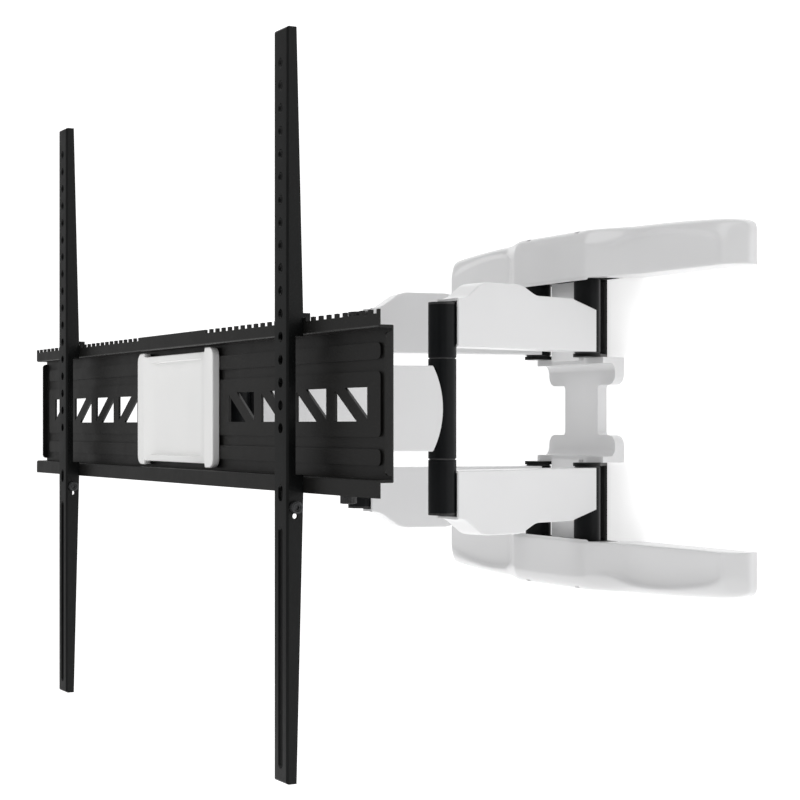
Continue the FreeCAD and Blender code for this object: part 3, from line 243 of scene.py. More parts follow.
def add_noise(tree, place, scale, detail):
    """A noise texture on a place, with its size linked."""
    noise = tree.nodes.new("ShaderNodeTexNoise")
    set_inputs(noise, {"Detail": detail, "Roughness": 0.5})
    tree.links.new(place, noise.inputs["Vector"])
    tree.links.new(scale, noise.inputs["Scale"])
    return noise.outputs["Fac"]


def add_range(tree, value, low, high, to_low=0.0, to_high=1.0):
    """A value brought from one range to another."""
    remap = tree.nodes.new("ShaderNodeMapRange")
    remap.interpolation_type = "SMOOTHSTEP"
    set_inputs(remap, {"From Min": low, "From Max": high, "To Min": to_low, "To Max": to_high})
    tree.links.new(value, remap.inputs["Value"])
    return remap.outputs["Result"]


def add_sum(tree, first, second, share):
    """first plus a share of second."""
    add = tree.nodes.new("ShaderNodeMath")
    add.operation = "MULTIPLY_ADD"
    add.inputs[1].default_value = share
    tree.links.new(second, add.inputs[0])
    tree.links.new(first, add.inputs[2])
    return add.outputs["Value"]


def powder_grain():
    """Orange peel of a powder coat: fine pimples over a broader flow."""
    group, start, end, place = new_group("powder_grain", ("Grain", "Flow"))
    grain = add_noise(group, place, start.outputs["Grain"], detail=2.0)
    flow = add_noise(group, place, start.outputs["Flow"], detail=3.0)
    group.links.new(add_sum(group, grain, flow, share=0.35), end.inputs["Height"])
    group.links.new(add_range(group, flow, low=0.2, high=0.8), end.inputs["Tone"])
    return group


def moulded_skin():
    """Skin of a gloss moulding: long soft sink marks and a faint texture."""
    group, start, end, place = new_group("moulded_skin", ("Sink", "Texture"))
    sink = add_noise(group, place, start.outputs["Sink"], detail=1.0)
    texture = add_noise(group, place, start.outputs["Texture"], detail=2.0)
    group.links.new(add_sum(group, sink, texture, share=0.05), end.inputs["Height"])
    group.links.new(add_range(group, sink, low=0.15, high=0.85), end.inputs["Tone"])
    return group


def drawn_lines():
    """Faint lines along the length of drawn tube and turned pins."""
    group, start, end, place = new_group("drawn_lines", ("Lines", "Cloud"))
    drawn = group.nodes.new("ShaderNodeMapping")
    drawn.inputs["Scale"].default_value = (1.0, 1.0, 0.03)
    group.links.new(place, drawn.inputs["Vector"])
    lines = add_noise(group, drawn.outputs["Vector"], start.outputs["Lines"], detail=3.0)
    cloud = add_noise(group, place, start.outputs["Cloud"], detail=2.0)
    both = add_sum(group, lines, cloud, share=1.0)
    group.links.new(add_sum(group, lines, cloud, share=0.3), end.inputs["Height"])
    group.links.new(add_range(group, both, low=0.7, high=1.3), end.inputs["Tone"])
    return group


def finish(name, colour, effect, values, shade, gloss, bump, metallic=0.0, coat=0.0, specular=0.5):
    """A finish whose tone, gloss and relief come from an effect's group."""
    material = bpy.data.materials.get(name)
    if material:
        return material
    material = bpy.data.materials.new(name)
    material.use_nodes = True
    tree = material.node_tree
    shader = tree.nodes["Principled BSDF"]
    set_inputs(shader, {"Metallic": metallic, "Specular IOR Level": specular})
    set_inputs(shader, {"Coat Weight": coat, "Coat Roughness": 0.12})
    surface = tree.nodes.new("ShaderNodeGroup")
    surface.node_tree = bpy.data.node_groups.get(effect.__name__) or effect()
    set_inputs(surface, values)
    blend = tree.nodes.new("ShaderNodeMix")
    blend.data_type = "RGBA"
    blend.inputs[MIX_FIRST].default_value = (*[part * (1.0 - shade) for part in colour], 1.0)
    blend.inputs[MIX_SECOND].default_value = (*[min(1.0, part * (1.0 + shade)) for part in colour], 1.0)
    tree.links.new(surface.outputs["Tone"], blend.inputs["Factor"])
    tree.links.new(blend.outputs[MIX_RESULT], shader.inputs["Base Color"])
    tree.links.new(add_range(tree, surface.outputs["Tone"], 0.0, 1.0, *gloss), shader.inputs["Roughness"])
    relief = tree.nodes.new("ShaderNodeBump")
    set_inputs(relief, {"Strength": 1.0, "Distance": bump})
    tree.links.new(surface.outputs["Height"], relief.inputs["Height"])
    tree.links.new(relief.outputs["Normal"], shader.inputs["Normal"])
    return material


def colours():
    """The colour settings."""
    return bpy.context.scene.wall_mount_colours


def white_moulding():
    return finish("white_moulding", colours().moulding, moulded_skin, {"Sink": 14.0, "Texture": 700.0},
                  shade=0.010, gloss=(0.28, 0.32), bump=0.0002, coat=0.25)


# The covers' gloss white painted brighter for the tray, as painted light
def tray_painted_lighter():
    return finish("tray_painted_lighter", colours().tray, moulded_skin, {"Sink": 18.0, "Texture": 700.0},
                  shade=0.010, gloss=(0.28, 0.32), bump=0.0002, coat=0.25)


def plate_coat():
    return finish("plate_coat", colours().sheet, powder_grain, {"Grain": 800.0, "Flow": 40.0},
                  shade=0.10, gloss=(0.32, 0.40), bump=0.00008, specular=0.24)


def rail_coat():
    return finish("rail_coat", colours().rail, powder_grain, {"Grain": 900.0, "Flow": 55.0},
                  shade=0.10, gloss=(0.32, 0.40), bump=0.00008, specular=0.20)


def tube_paint():
    return finish("tube_paint", colours().tube, drawn_lines, {"Lines": 400.0, "Cloud": 25.0},
                  shade=0.10, gloss=(0.30, 0.38), bump=0.00003, specular=0.12)


def cap_plastic():
    return finish("cap_plastic", colours().knob, moulded_skin, {"Sink": 60.0, "Texture": 1200.0},
                  shade=0.10, gloss=(0.42, 0.52), bump=0.0001)


def bush_plastic():
    return finish("bush_plastic", colours().bush, moulded_skin, {"Sink": 80.0, "Texture": 1200.0},
                  shade=0.08, gloss=(0.45, 0.55), bump=0.0001, specular=0.08)


def zinc_plating():
    return finish("zinc_plating", colours().plating, drawn_lines, {"Lines": 700.0, "Cloud": 90.0},
                  shade=0.12, gloss=(0.28, 0.42), bump=0.00003, metallic=1.0)


def blackened_steel():
    return finish("blackened_steel", colours().screw, drawn_lines, {"Lines": 700.0, "Cloud": 120.0},
                  shade=0.15, gloss=(0.30, 0.40), bump=0.00003, metallic=0.5)


# Modelling

# Lengths that differ by less than this count as the same
SAME_LENGTH = 0.0002
# Facet corners closer than this are joined
SAME_POINT = 0.00001
# Facets that meet flatter than this become one face
FLAT_ANGLE = math.radians(0.2)
# Edges sharper than this are rounded
SHARP_ANGLE = math.radians(32.0)
# Faces that meet flatter than this are shaded smooth
SMOOTH_ANGLE = math.radians(40.0)
# Least upward part of the normal of a face that looks up
LOOKS_UP = 0.9


def edit_all():
    """The active piece is opened for editing, with everything in it selected."""
    bpy.ops.object.mode_set(mode="EDIT")
    bpy.ops.mesh.select_all(action="SELECT")


def leave_edit():
    """Back to whole objects."""
    bpy.ops.object.mode_set(mode="OBJECT")


def select_only(piece):
    """Nothing but this piece is selected and active."""
    bpy.ops.object.select_all(action="DESELECT")
    piece.select_set(True)
    bpy.context.view_layer.objects.active = piece


def set_material(piece, material):
    """The piece wears one finish all over."""
    piece.data.materials.clear()
    piece.data.materials.append(material)


def dress_solid(node, material):
    """A solid that is shown as it is gets a finish in its own material slots."""
    solid = frame["nodes"][node]
    if not solid.data.materials:
        solid.data.materials.append(material)
    for place in range(len(solid.data.materials)):
        solid.data.materials[place] = material


def apply_modifiers(piece):
    """Every modifier becomes part of the mesh, in order."""
    select_only(piece)
    for label in [modifier.name for modifier in piece.modifiers]:
        bpy.ops.object.modifier_apply(modifier=label)


def round_over(piece, width, segments):
    """Sharp edges are rounded."""
    rounding = piece.modifiers.new("rounding", "BEVEL")
    rounding.width = width
    rounding.segments = segments
    rounding.limit_method = "ANGLE"
    rounding.angle_limit = SHARP_ANGLE
    apply_modifiers(piece)


def even_light(piece):
    """Curved faces are shaded smooth and large flat faces stay flat."""
    select_only(piece)
    bpy.ops.object.shade_smooth_by_angle(angle=SMOOTH_ANGLE)
    weights = piece.modifiers.new("weights", "WEIGHTED_NORMAL")
    weights.keep_sharp = True
    weights.weight = 80
    apply_modifiers(piece)


def merged_copy(node, name):
    """A copy of a solid's facets, joined into one skin with whole flat faces."""
    solid = frame["nodes"][node]
    piece = bpy.data.objects.new(name, solid.data.copy())
    bpy.context.scene.collection.objects.link(piece)
    select_only(piece)
    bpy.ops.mesh.customdata_custom_splitnormals_clear()
    edit_all()
    bpy.ops.mesh.remove_doubles(threshold=SAME_POINT)
    bpy.ops.mesh.dissolve_limited(angle_limit=FLAT_ANGLE)
    leave_edit()
    return piece


def hang(piece, node, material):
    """The piece takes a solid's place on its body, with its finish."""
    set_material(piece, material)
    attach(piece, frame["nodes"][node]["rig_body"])
    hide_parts(node)


def dress(piece, node, edge, segments, material):
    """The piece gets rounded edges and an even light, and takes a solid's place."""
    round_over(piece, edge, segments)
    even_light(piece)
    hang(piece, node, material)


def soften(node, edge, segments, material):
    """A solid is replaced by its merged copy with rounded edges."""
    dress(merged_copy(node, f"{node}_skin"), node, edge, segments, material)


def twin(piece, name):
    """A second piece of the same shape."""
    other = piece.copy()
    other.data = piece.data.copy()
    other.name = name
    bpy.context.scene.collection.objects.link(other)
    return other


def pick(piece, kind, test):
    """In edit mode, only the points, edges or faces that pass a test are selected."""
    if bpy.context.mode != "OBJECT":
        leave_edit()
    select_only(piece)
    bpy.ops.object.mode_set(mode="EDIT")
    bpy.ops.mesh.select_mode(type=kind)
    bpy.ops.mesh.select_all(action="DESELECT")
    leave_edit()
    parts = {"VERT": piece.data.vertices, "EDGE": piece.data.edges, "FACE": piece.data.polygons}[kind]
    found = [part for part in parts if test(part)]
    if not found:
        raise RuntimeError(f"{piece.name}: nothing was found to shape")
    for part in found:
        part.select = True
    bpy.ops.object.mode_set(mode="EDIT")


def bend(piece, test, radius):
    """The edges whose two ends pass a test are folds and get a sheet's bend radius."""
    points = piece.data.vertices
    pick(piece, "EDGE", lambda edge: all(test(points[end].co) for end in edge.vertices))
    bpy.ops.mesh.bevel(offset=radius, segments=4, affect="EDGES", clamp_overlap=True)
    leave_edit()


def shift(piece, test, move):
    """The points whose places pass a test are moved."""
    pick(piece, "VERT", lambda point: test(point.co))
    bpy.ops.transform.translate(value=move)
    leave_edit()


def stretch(piece, test, scale, middle):
    """The points whose places pass a test are drawn out from a middle."""
    pick(piece, "VERT", lambda point: test(point.co))
    bpy.ops.transform.resize(value=scale, center_override=middle)
    leave_edit()


def close(first, second):
    """Two lengths count as the same."""
    return abs(first - second) < SAME_LENGTH


def middle_of(node):
    """The middle of a solid's box, at the mount's middle height."""
    low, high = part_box(node)
    return Vector(((low.x + high.x) / 2, (low.y + high.y) / 2, 0))


def widen_flanges(piece, axis, radius):
    """The rims of a row of bushes are drawn out to a radius about the row's axis."""
    rim = max((point.co.xy - axis.xy).length for point in piece.data.vertices)
    inner = rim * 0.95
    stretch(piece, lambda at: (at.xy - axis.xy).length > inner, (radius / rim, radius / rim, 1), axis)


def prism(name, outline, lift):
    """A flat outline is drawn out into a solid."""
    bpy.ops.mesh.primitive_circle_add(vertices=len(outline), fill_type="NGON")
    piece = bpy.context.object
    piece.name = name
    for point, place in zip(piece.data.vertices, outline):
        point.co = place
    edit_all()
    bpy.ops.mesh.extrude_region_move(TRANSFORM_OT_translate={"value": lift})
    bpy.ops.mesh.select_all(action="SELECT")
    bpy.ops.mesh.normals_make_consistent(inside=False)
    leave_edit()
    return piece


def merge(piece, other, way):
    """Another solid is joined to the piece or cut out of it, and is used up."""
    joint = piece.modifiers.new("joint", "BOOLEAN")
    joint.operation = way
    joint.solver = "EXACT"
    joint.object = other
    apply_modifiers(piece)
    bpy.data.objects.remove(other)


def start_turned(name, sides, radius, height):
    """A round blank on the upright axis, its foot at the origin."""
    bpy.ops.mesh.primitive_cylinder_add(
        vertices=sides, radius=radius, depth=height, location=(0, 0, height / 2))
    piece = bpy.context.object
    piece.name = name
    bpy.ops.object.transform_apply()
    return piece


def cut_socket(piece, corner, top, depth):
    """A six-sided socket in a turned head."""
    bpy.ops.mesh.primitive_cylinder_add(vertices=6, radius=corner / 2, depth=depth * 2, location=(0, 0, top))
    merge(piece, bpy.context.object, "DIFFERENCE")


# Widths of the rings on a grip's face, as shares of its radius, and the rise of the second one
GRIP_RINGS = (0.16, 0.05, 0.14, 0.12)
RING_RISE = 0.0003


def grip_head(name, radius, height, dish):
    """A thumb screw's head: a grooved rim, a raised ring and a dished middle."""
    sizes = bpy.context.scene.wall_mount_sizes
    faces = sizes.grip_teeth * 2
    piece = start_turned(name, faces, radius, height)

    def groove(face):
        """Every second face round the rim."""
        turn = math.atan2(face.center.y, face.center.x) % math.tau
        place = int(round(turn * faces / math.tau - 0.5))
        return abs(face.normal.z) < LOOKS_UP and place % 2

    pick(piece, "FACE", groove)
    bpy.ops.mesh.extrude_region_shrink_fatten(TRANSFORM_OT_shrink_fatten={"value": -sizes.grip_depth})
    pick(piece, "FACE", lambda face: face.normal.z > LOOKS_UP and len(face.vertices) >= faces)
    for share, rise in zip(GRIP_RINGS, (0.0, RING_RISE, 0.0, -dish)):
        bpy.ops.mesh.inset(thickness=radius * share, depth=rise)
    leave_edit()
    return piece


def put(piece, turn, place):
    """A finished head is turned, moved and its place kept in its mesh."""
    piece.data.transform(Matrix.Translation(place) @ turn.to_4x4())
    piece.data.update()


# Wall covers

# Half of a wall cover, in millimetres from its middle out: place along the wall, depth,
# drop of the top, share of the scoop and drop of the brow's crest.
COVER_STATIONS = (
    (0.0, 60.0, 0.0, 0.00, 14.0),
    (40.0, 60.0, 0.0, 0.00, 14.0),
    (66.0, 60.0, 0.0, 0.00, 14.5),
    (73.0, 59.4, 0.1, 0.00, 16.0),
    (79.0, 57.6, 0.2, 0.00, 18.0),
    (98.0, 49.6, 0.4, 0.30, 20.0),
    (112.0, 43.4, 0.6, 0.80, 16.0),
    (122.0, 39.8, 0.7, 1.00, 12.5),
    (132.0, 38.4, 0.9, 1.00, 10.5),
    (160.0, 36.4, 1.4, 1.00, 8.5),
    (200.0, 33.8, 2.6, 1.00, 9.5),
    (240.0, 31.2, 4.6, 0.95, 13.0),
    (258.0, 29.8, 5.8, 0.80, 16.0),
    (266.0, 29.0, 6.4, 0.45, 19.0),
    (271.0, 28.0, 7.0, 0.02, 21.0),
    (276.0, 26.2, 7.6, 0.00, 22.0),
    (286.0, 18.4, 9.4, 0.00, 22.0),
    (292.5, 13.0, 12.5, 0.00, 20.0),
    (294.7, 10.0, 16.5, 0.00, 18.0),
    (295.0, 6.0, 20.0, 0.00, 16.0),
    (295.0, 0.0, 22.0, 0.00, 15.0),
)


# How far behind its front a cover's section turns, and the most of its depth that this takes
TOP_TURN = (0.013, 0.45)
SHOULDER_TURN = (0.0065, 0.2)
BROW_TURN = (0.0022, 0.06)
TOE_TURN = (0.0015, 0.2)
# Heights of its points under the brow and over the lower edge
UNDER_BROW = (0.003, 0.007)
OVER_EDGE = (0.006, 0.0012)
# Fall of a cover's top from one point of its section to the next
TOP_FALL = 0.0002
# Width of a cover's lower edge where it is open, and half the width of that opening
OPEN_EDGE = 0.001
OPEN_HALF_WIDTH = 0.08
# Depth, height, length and thickness of the block that cuts a notch
NOTCH_DEPTH = -0.052
NOTCH_HEIGHT = 0.2035
NOTCH_LENGTH = 0.016
NOTCH_THICKNESS = 0.007
# Faces of a cover flatter than this are shaded smooth, and points closer than this are joined
COVER_SMOOTH_ANGLE = math.radians(38)
COVER_SAME_POINT = 0.000005


def cover_section(depth, drop, scoop, crest, foot):
    """A section of a wall cover, from its top at the wall round the brow to its lower edge."""
    low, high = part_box("upper_wall_cover")
    bottom = low.z
    top = high.z - drop
    brow = top - crest
    fall_back = min(bpy.context.scene.wall_mount_sizes.scoop_depth * scoop, depth * 0.5)
    dished = depth - fall_back
    heel = dished + fall_back * 0.2

    def behind(front, turn):
        """Where the section turns behind a front."""
        length, share = turn
        return front - min(length, depth * share)

    return [
        (0.0, top),
        (depth * 0.35, top - TOP_FALL),
        (behind(depth, TOP_TURN), top - TOP_FALL * 2),
        (behind(depth, SHOULDER_TURN), top - TOP_FALL * 7),
        (behind(depth, BROW_TURN), top - crest * 0.5),
        (depth, brow),
        (depth - fall_back * 0.85, brow - UNDER_BROW[0]),
        (dished, brow - UNDER_BROW[1]),
        (dished, (brow + bottom) / 2),
        (heel, bottom + OVER_EDGE[0]),
        (heel, bottom + OVER_EDGE[1]),
        (behind(dished, TOE_TURN), bottom + TOP_FALL),
        (max(dished - foot, 0.0), bottom),
    ]


# Operators

class WALLMOUNT_OT_wall_covers(bpy.types.Operator):
    """Gloss white covers of the two wall bars, with scooped wings under a brow"""

    bl_idname = "wallmount.wall_covers"
    bl_label = "Wall covers"

    def execute(self, context):
        upper = self.shell(context, "upper_wall_cover_skin")
        self.cut_notches(context, upper)
        lower = twin(upper, "lower_wall_cover_skin")
        lower.data.transform(Matrix.Rotation(math.pi, 4, "Y"))
        for piece, node in ((upper, "upper_wall_cover"), (lower, "lower_wall_cover")):
            select_only(piece)
            bpy.ops.object.shade_smooth_by_angle(angle=COVER_SMOOTH_ANGLE)
            hang(piece, node, white_moulding())
        return {"FINISHED"}

    def shell(self, context, name):
        """A sheet is laid over the cover's sections, smoothed and given its wall."""
        stations = [(-row[0], *row[1:]) for row in reversed(COVER_STATIONS[1:])] + list(COVER_STATIONS)
        sections = []
        for place, depth, drop, scoop, crest in stations:
            x, depth, drop, crest = [millimetres / 1000 for millimetres in (place, depth, drop, crest)]
            foot = OPEN_EDGE if abs(x) < OPEN_HALF_WIDTH else depth
            sections.append([(x, -d, z) for d, z in cover_section(depth, drop, scoop, crest, foot)])
        rows, columns = len(sections[0]), len(sections)
        bpy.ops.mesh.primitive_grid_add(x_subdivisions=columns - 1, y_subdivisions=rows - 1, size=1)
        piece = context.object
        piece.name = name
        if len(piece.data.vertices) != rows * columns:
            raise RuntimeError("the cover's sheet doesn't fit its sections")
        for place, point in enumerate(piece.data.vertices):
            row, column = divmod(place, columns)
            point.co = sections[column][row]
        piece.data.update()
        middle = max(piece.data.polygons, key=lambda face: -face.center.y)
        if middle.normal.y > 0:
            edit_all()
            bpy.ops.mesh.flip_normals()
            leave_edit()
        smooth = piece.modifiers.new("smooth", "SUBSURF")
        smooth.levels = 2
        smooth.render_levels = 2
        smooth.boundary_smooth = "PRESERVE_CORNERS"
        wall = piece.modifiers.new("wall", "SOLIDIFY")
        wall.thickness = context.scene.wall_mount_sizes.cover_wall
        wall.offset = -1.0
        apply_modifiers(piece)
        for point in piece.data.vertices:
            point.co.y = min(point.co.y, 0.0)
        edit_all()
        bpy.ops.mesh.remove_doubles(threshold=COVER_SAME_POINT)
        bpy.ops.mesh.dissolve_degenerate(threshold=COVER_SAME_POINT)
        leave_edit()
        return piece

    def cut_notches(self, context, piece):
        """A small notch in the top edge over each pivot."""
        block = (context.scene.wall_mount_sizes.notch_width, NOTCH_LENGTH, NOTCH_THICKNESS)
        for side in SIDES:
            axis = middle_of(f"{side}_wall_bushes").x
            bpy.ops.mesh.primitive_cube_add(size=1, location=(axis, NOTCH_DEPTH, NOTCH_HEIGHT), scale=block)
            merge(piece, context.object, "DIFFERENCE")


# Gaps between the wall and the centre cover's shell and ledges
SHELL_GAP = 0.0004
LEDGE_GAP = 0.0006
# Height where the shell's heads begin, their corner radius and the radius at the waist
HEAD_FOOT = 0.029
HEAD_CORNER = 0.012
WAIST_FILLET = 0.004
# Thickness of a ledge's tongue and of the end wall behind it
TONGUE = 0.007
END_WALL = 0.004
# Depth where a cove begins under the tongue, and the heights where the cove and its back end
COVE_DEPTH = 0.019
COVE_FOOT = 0.040
LEDGE_FOOT = 0.042
# How far the columns and the hollows run on past the faces that they meet
OVERLAP = 0.003
HOLLOW_OVERLAP = 0.001
ROOM_OVERLAP = 0.002
# The solid's column is found above this height
COLUMN_HEIGHT = 0.1
# Room round the post: at its sides and front, and half its height
POST_SIDE_ROOM = 0.0015
POST_FRONT_ROOM = 0.0004
ROOM_HALF_HEIGHT = 0.2
# Steps of the round corners, in degrees
CORNER_TURNS = range(0, 91, 15)
FILLET_TURNS = range(0, 91, 30)


class WALLMOUNT_OT_centre_cover(bpy.types.Operator):
    """Gloss white waisted shell with two coved ledges, and a column from each ledge to a wall cover"""

    bl_idname = "wallmount.centre_cover"
    bl_label = "Centre cover"

    def execute(self, context):
        sizes = context.scene.wall_mount_sizes
        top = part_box("upper_pivot_bracket")[0].z
        shell = [(x, -SHELL_GAP, z) for x, z in self.plate(sizes, top, 0.0)]
        piece = prism("centre_cover_skin", shell, (0, -sizes.waist_depth, 0))
        for way in (-1, 1):
            ledge = [(-sizes.ledge_half_width, -d, way * z) for d, z in self.ledge(sizes, top)]
            merge(piece, prism("ledge", ledge, (sizes.ledge_half_width * 2, 0, 0)), "UNION")
        hollow = [(x, HOLLOW_OVERLAP, z) for x, z in self.plate(sizes, top - END_WALL, sizes.cover_wall)]
        merge(piece, prism("hollow", hollow, (0, -(sizes.waist_depth - sizes.cover_wall), 0)), "DIFFERENCE")
        for way in (-1, 1):
            merge(piece, self.column(way, top - OVERLAP), "UNION")
        low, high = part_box("centre_post")
        front = low.y - POST_FRONT_ROOM
        room = self.upright(high.x + POST_SIDE_ROOM, -ROOM_HALF_HEIGHT, ROOM_HALF_HEIGHT, front)
        merge(piece, prism("room", room, (0, -low.y + ROOM_OVERLAP, 0)), "DIFFERENCE")
        dress(piece, "centre_cover", sizes.moulding_edge, 3, white_moulding())
        return {"FINISHED"}

    def upright(self, wide, low, high, depth):
        """An upright rectangle about the mount's middle."""
        return [(-wide, depth, low), (wide, depth, low), (wide, depth, high), (-wide, depth, high)]

    def plate(self, sizes, top, inset):
        """Outline of the shell: two wide heads with round corners and a slim waist."""
        head = sizes.ledge_half_width - inset
        slim = sizes.waist_half_width - inset
        foot = HEAD_FOOT + inset
        half = [(head, top)]
        for angle in map(math.radians, CORNER_TURNS):
            x = head - HEAD_CORNER * (1 - math.cos(angle))
            half.append((x, foot + HEAD_CORNER * (1 - math.sin(angle))))
        for angle in map(math.radians, FILLET_TURNS):
            x = slim + WAIST_FILLET * (1 - math.sin(angle))
            half.append((x, foot - WAIST_FILLET * (1 - math.cos(angle))))
        right = half + [(x, -z) for x, z in reversed(half)]
        return right + [(-x, z) for x, z in reversed(right)]

    def ledge(self, sizes, top):
        """Profile of a ledge: a flat tongue over a cove."""
        under = top - TONGUE
        outline = [(LEDGE_GAP, top), (sizes.ledge_depth, top), (sizes.ledge_depth, under)]
        for angle in map(math.radians, CORNER_TURNS):
            depth = COVE_DEPTH - (COVE_DEPTH - sizes.waist_depth) * math.sin(angle)
            outline.append((depth, COVE_FOOT + (under - COVE_FOOT) * math.cos(angle)))
        return outline + [(LEDGE_GAP, LEDGE_FOOT)]

    def column(self, way, foot):
        """The flat column from a ledge to a wall cover."""
        corners = [point.co for point in frame["nodes"]["centre_cover"].data.vertices]
        points = [corner for corner in corners if abs(corner.z) > COLUMN_HEIGHT]
        wide = max(point.x for point in points)
        high = max(point.z for point in points)
        front = min(point.y for point in points)
        back = max(point.y for point in points)
        return prism("column", self.upright(wide, way * foot, way * high, back), (0, front - back, 0))


# The wall end of an arm cover's crest is above this height and within this reach of the pivot
NOSE_HEIGHT = 0.1135
NOSE_REACH = 0.03


class WALLMOUNT_OT_arm_covers(bpy.types.Operator):
    """Gloss white covers of the wall arms and the front arms"""

    bl_idname = "wallmount.arm_covers"
    bl_label = "Arm covers"

    def execute(self, context):
        sizes = context.scene.wall_mount_sizes
        for side in SIDES:
            pivot = middle_of(f"{side}_wall_bushes")
            along = (middle_of(f"{side}_elbow_shaft") - pivot).normalized()
            for level in LEVELS:
                node = f"{side}_{level}_arm_cover"
                piece = merged_copy(node, f"{node}_skin")
                shift(piece, lambda at: abs(at.z) > NOSE_HEIGHT and (at - pivot).dot(along) < NOSE_REACH,
                      along * sizes.nose_shift)
                dress(piece, node, sizes.moulding_edge, 3, white_moulding())
            soften(f"{side}_front_arm_cover", sizes.moulding_edge, 3, white_moulding())
        return {"FINISHED"}


class WALLMOUNT_OT_front_tray(bpy.types.Operator):
    """Gloss white tray in the middle of the television plate"""

    bl_idname = "wallmount.front_tray"
    bl_label = "Front tray"

    def execute(self, context):
        edge = context.scene.wall_mount_sizes.moulding_edge
        soften("front_cover", edge, 3, tray_painted_lighter())
        return {"FINISHED"}


# Share of the steel's rounding that the arms and tubes get
TUBE_EDGE_SHARE = 0.4


class WALLMOUNT_OT_arms(bpy.types.Operator):
    """Painted steel arms and pivot tubes"""

    bl_idname = "wallmount.arms"
    bl_label = "Arms and tubes"

    def execute(self, context):
        edge = context.scene.wall_mount_sizes.steel_edge * TUBE_EDGE_SHARE
        for side in SIDES:
            for part in ("upper_arm", "lower_arm", "front_arm"):
                soften(f"{side}_{part}", edge, 2, tube_paint())
        return {"FINISHED"}


# Thickness, number of sides and dish of an elbow cap, and the share of its radius that its ring takes
CAP_THICKNESS = 0.0025
CAP_SIDES = 48
CAP_DISH = 0.0005
CAP_RING = 0.45


class WALLMOUNT_OT_elbow_caps(bpy.types.Operator):
    """Plastic caps with round rims and dished middles on the ends of the elbow tubes"""

    bl_idname = "wallmount.elbow_caps"
    bl_label = "Elbow caps"

    def execute(self, context):
        rim = context.scene.wall_mount_sizes.cap_rim
        for side in SIDES:
            node = f"{side}_elbow_caps"
            low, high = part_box(node)
            middle = (low + high) / 2
            radius = (high.x - low.x) / 2
            thick = min(high.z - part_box(f"{side}_elbow_shaft")[1].z, CAP_THICKNESS)
            cap = start_turned(f"{side}_elbow_cap_upper", CAP_SIDES, radius, thick)
            pick(cap, "FACE", lambda face: face.normal.z > LOOKS_UP)
            for width, rise in ((rim * 0.3, 0.0), (radius * CAP_RING, 0.0), (rim * 0.5, -CAP_DISH)):
                bpy.ops.mesh.inset(thickness=width, depth=rise)
            leave_edit()
            round_over(cap, rim * 0.8, 3)
            lower = twin(cap, f"{side}_elbow_cap_lower")
            put(cap, Matrix.Identity(3), Vector((middle.x, middle.y, high.z - thick)))
            put(lower, Matrix.Rotation(math.pi, 3, "X"), Vector((middle.x, middle.y, low.z + thick)))
            for piece in (cap, lower):
                even_light(piece)
                hang(piece, node, cap_plastic())
        return {"FINISHED"}


# Thickness of the plate's sheet
SHEET = 0.0025


class WALLMOUNT_OT_tv_plate(bpy.types.Operator):
    """Folded, ribbed and pierced television plate"""

    bl_idname = "wallmount.tv_plate"
    bl_label = "Television plate"

    def execute(self, context):
        sizes = context.scene.wall_mount_sizes
        low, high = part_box("tv_plate")
        corners = [point.co for point in frame["nodes"]["tv_plate"].data.vertices]
        shelf = max(corner.z for corner in corners if close(corner.y, high.y))
        piece = merged_copy("tv_plate", "tv_plate_skin")
        bend(piece, lambda at: close(at.y, high.y) and close(abs(at.z), shelf), sizes.sheet_bend)
        bend(piece, lambda at: close(at.y, low.y) and close(abs(at.z), shelf - SHEET), sizes.sheet_bend)
        dress(piece, "tv_plate", sizes.sheet_edge, 2, plate_coat())
        return {"FINISHED"}


# Height where the solid rails narrow
SOLID_RAIL_STEP = 0.054


class WALLMOUNT_OT_rails(bpy.types.Operator):
    """Two folded hole rails that hook on the plate"""

    bl_idname = "wallmount.rails"
    bl_label = "Rails"

    def execute(self, context):
        sizes = context.scene.wall_mount_sizes
        for side in SIDES:
            node = f"{side}_rail"
            low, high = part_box(node)
            piece = merged_copy(node, f"{node}_skin")
            for way in (-1, 1):
                shift(piece, lambda at: close(at.z, way * SOLID_RAIL_STEP),
                      (0, 0, way * (sizes.rail_step - SOLID_RAIL_STEP)))
            bend(piece, lambda at: close(at.y, low.y) and (close(at.x, low.x) or close(at.x, high.x)),
                 sizes.sheet_bend)
            dress(piece, node, sizes.rail_edge, 2, rail_coat())
        return {"FINISHED"}


# Dish, socket depth and rounding of a thumb screw, and dish and rounding of the knob
SCREW_DISH = 0.0012
SOCKET_DEPTH = 0.0016
SCREW_EDGE = 0.00015
KNOB_DISH = 0.0006
KNOB_EDGE = 0.0003


class WALLMOUNT_OT_lock_screws(bpy.types.Operator):
    """Grooved thumb screws that lock the rails under the lower lip"""

    bl_idname = "wallmount.lock_screws"
    bl_label = "Lock screws"

    def execute(self, context):
        low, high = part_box("rail_lock_screws")
        radius = (high.z - low.z) / 2
        height = high.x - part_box("right_rail")[1].x
        middle = (low + high) / 2
        head = grip_head("right_lock_screw", radius, height, SCREW_DISH)
        cut_socket(head, context.scene.wall_mount_sizes.socket, height - SCREW_DISH, SOCKET_DEPTH)
        round_over(head, SCREW_EDGE, 1)
        other = twin(head, "left_lock_screw")
        outward = Matrix.Rotation(math.pi / 2, 3, "Y")
        for piece, rail in ((head, "right_rail"), (other, "left_rail")):
            put(piece, outward, Vector((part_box(rail)[1].x, middle.y, middle.z)))
            even_light(piece)
            hang(piece, "rail_lock_screws", blackened_steel())
        return {"FINISHED"}


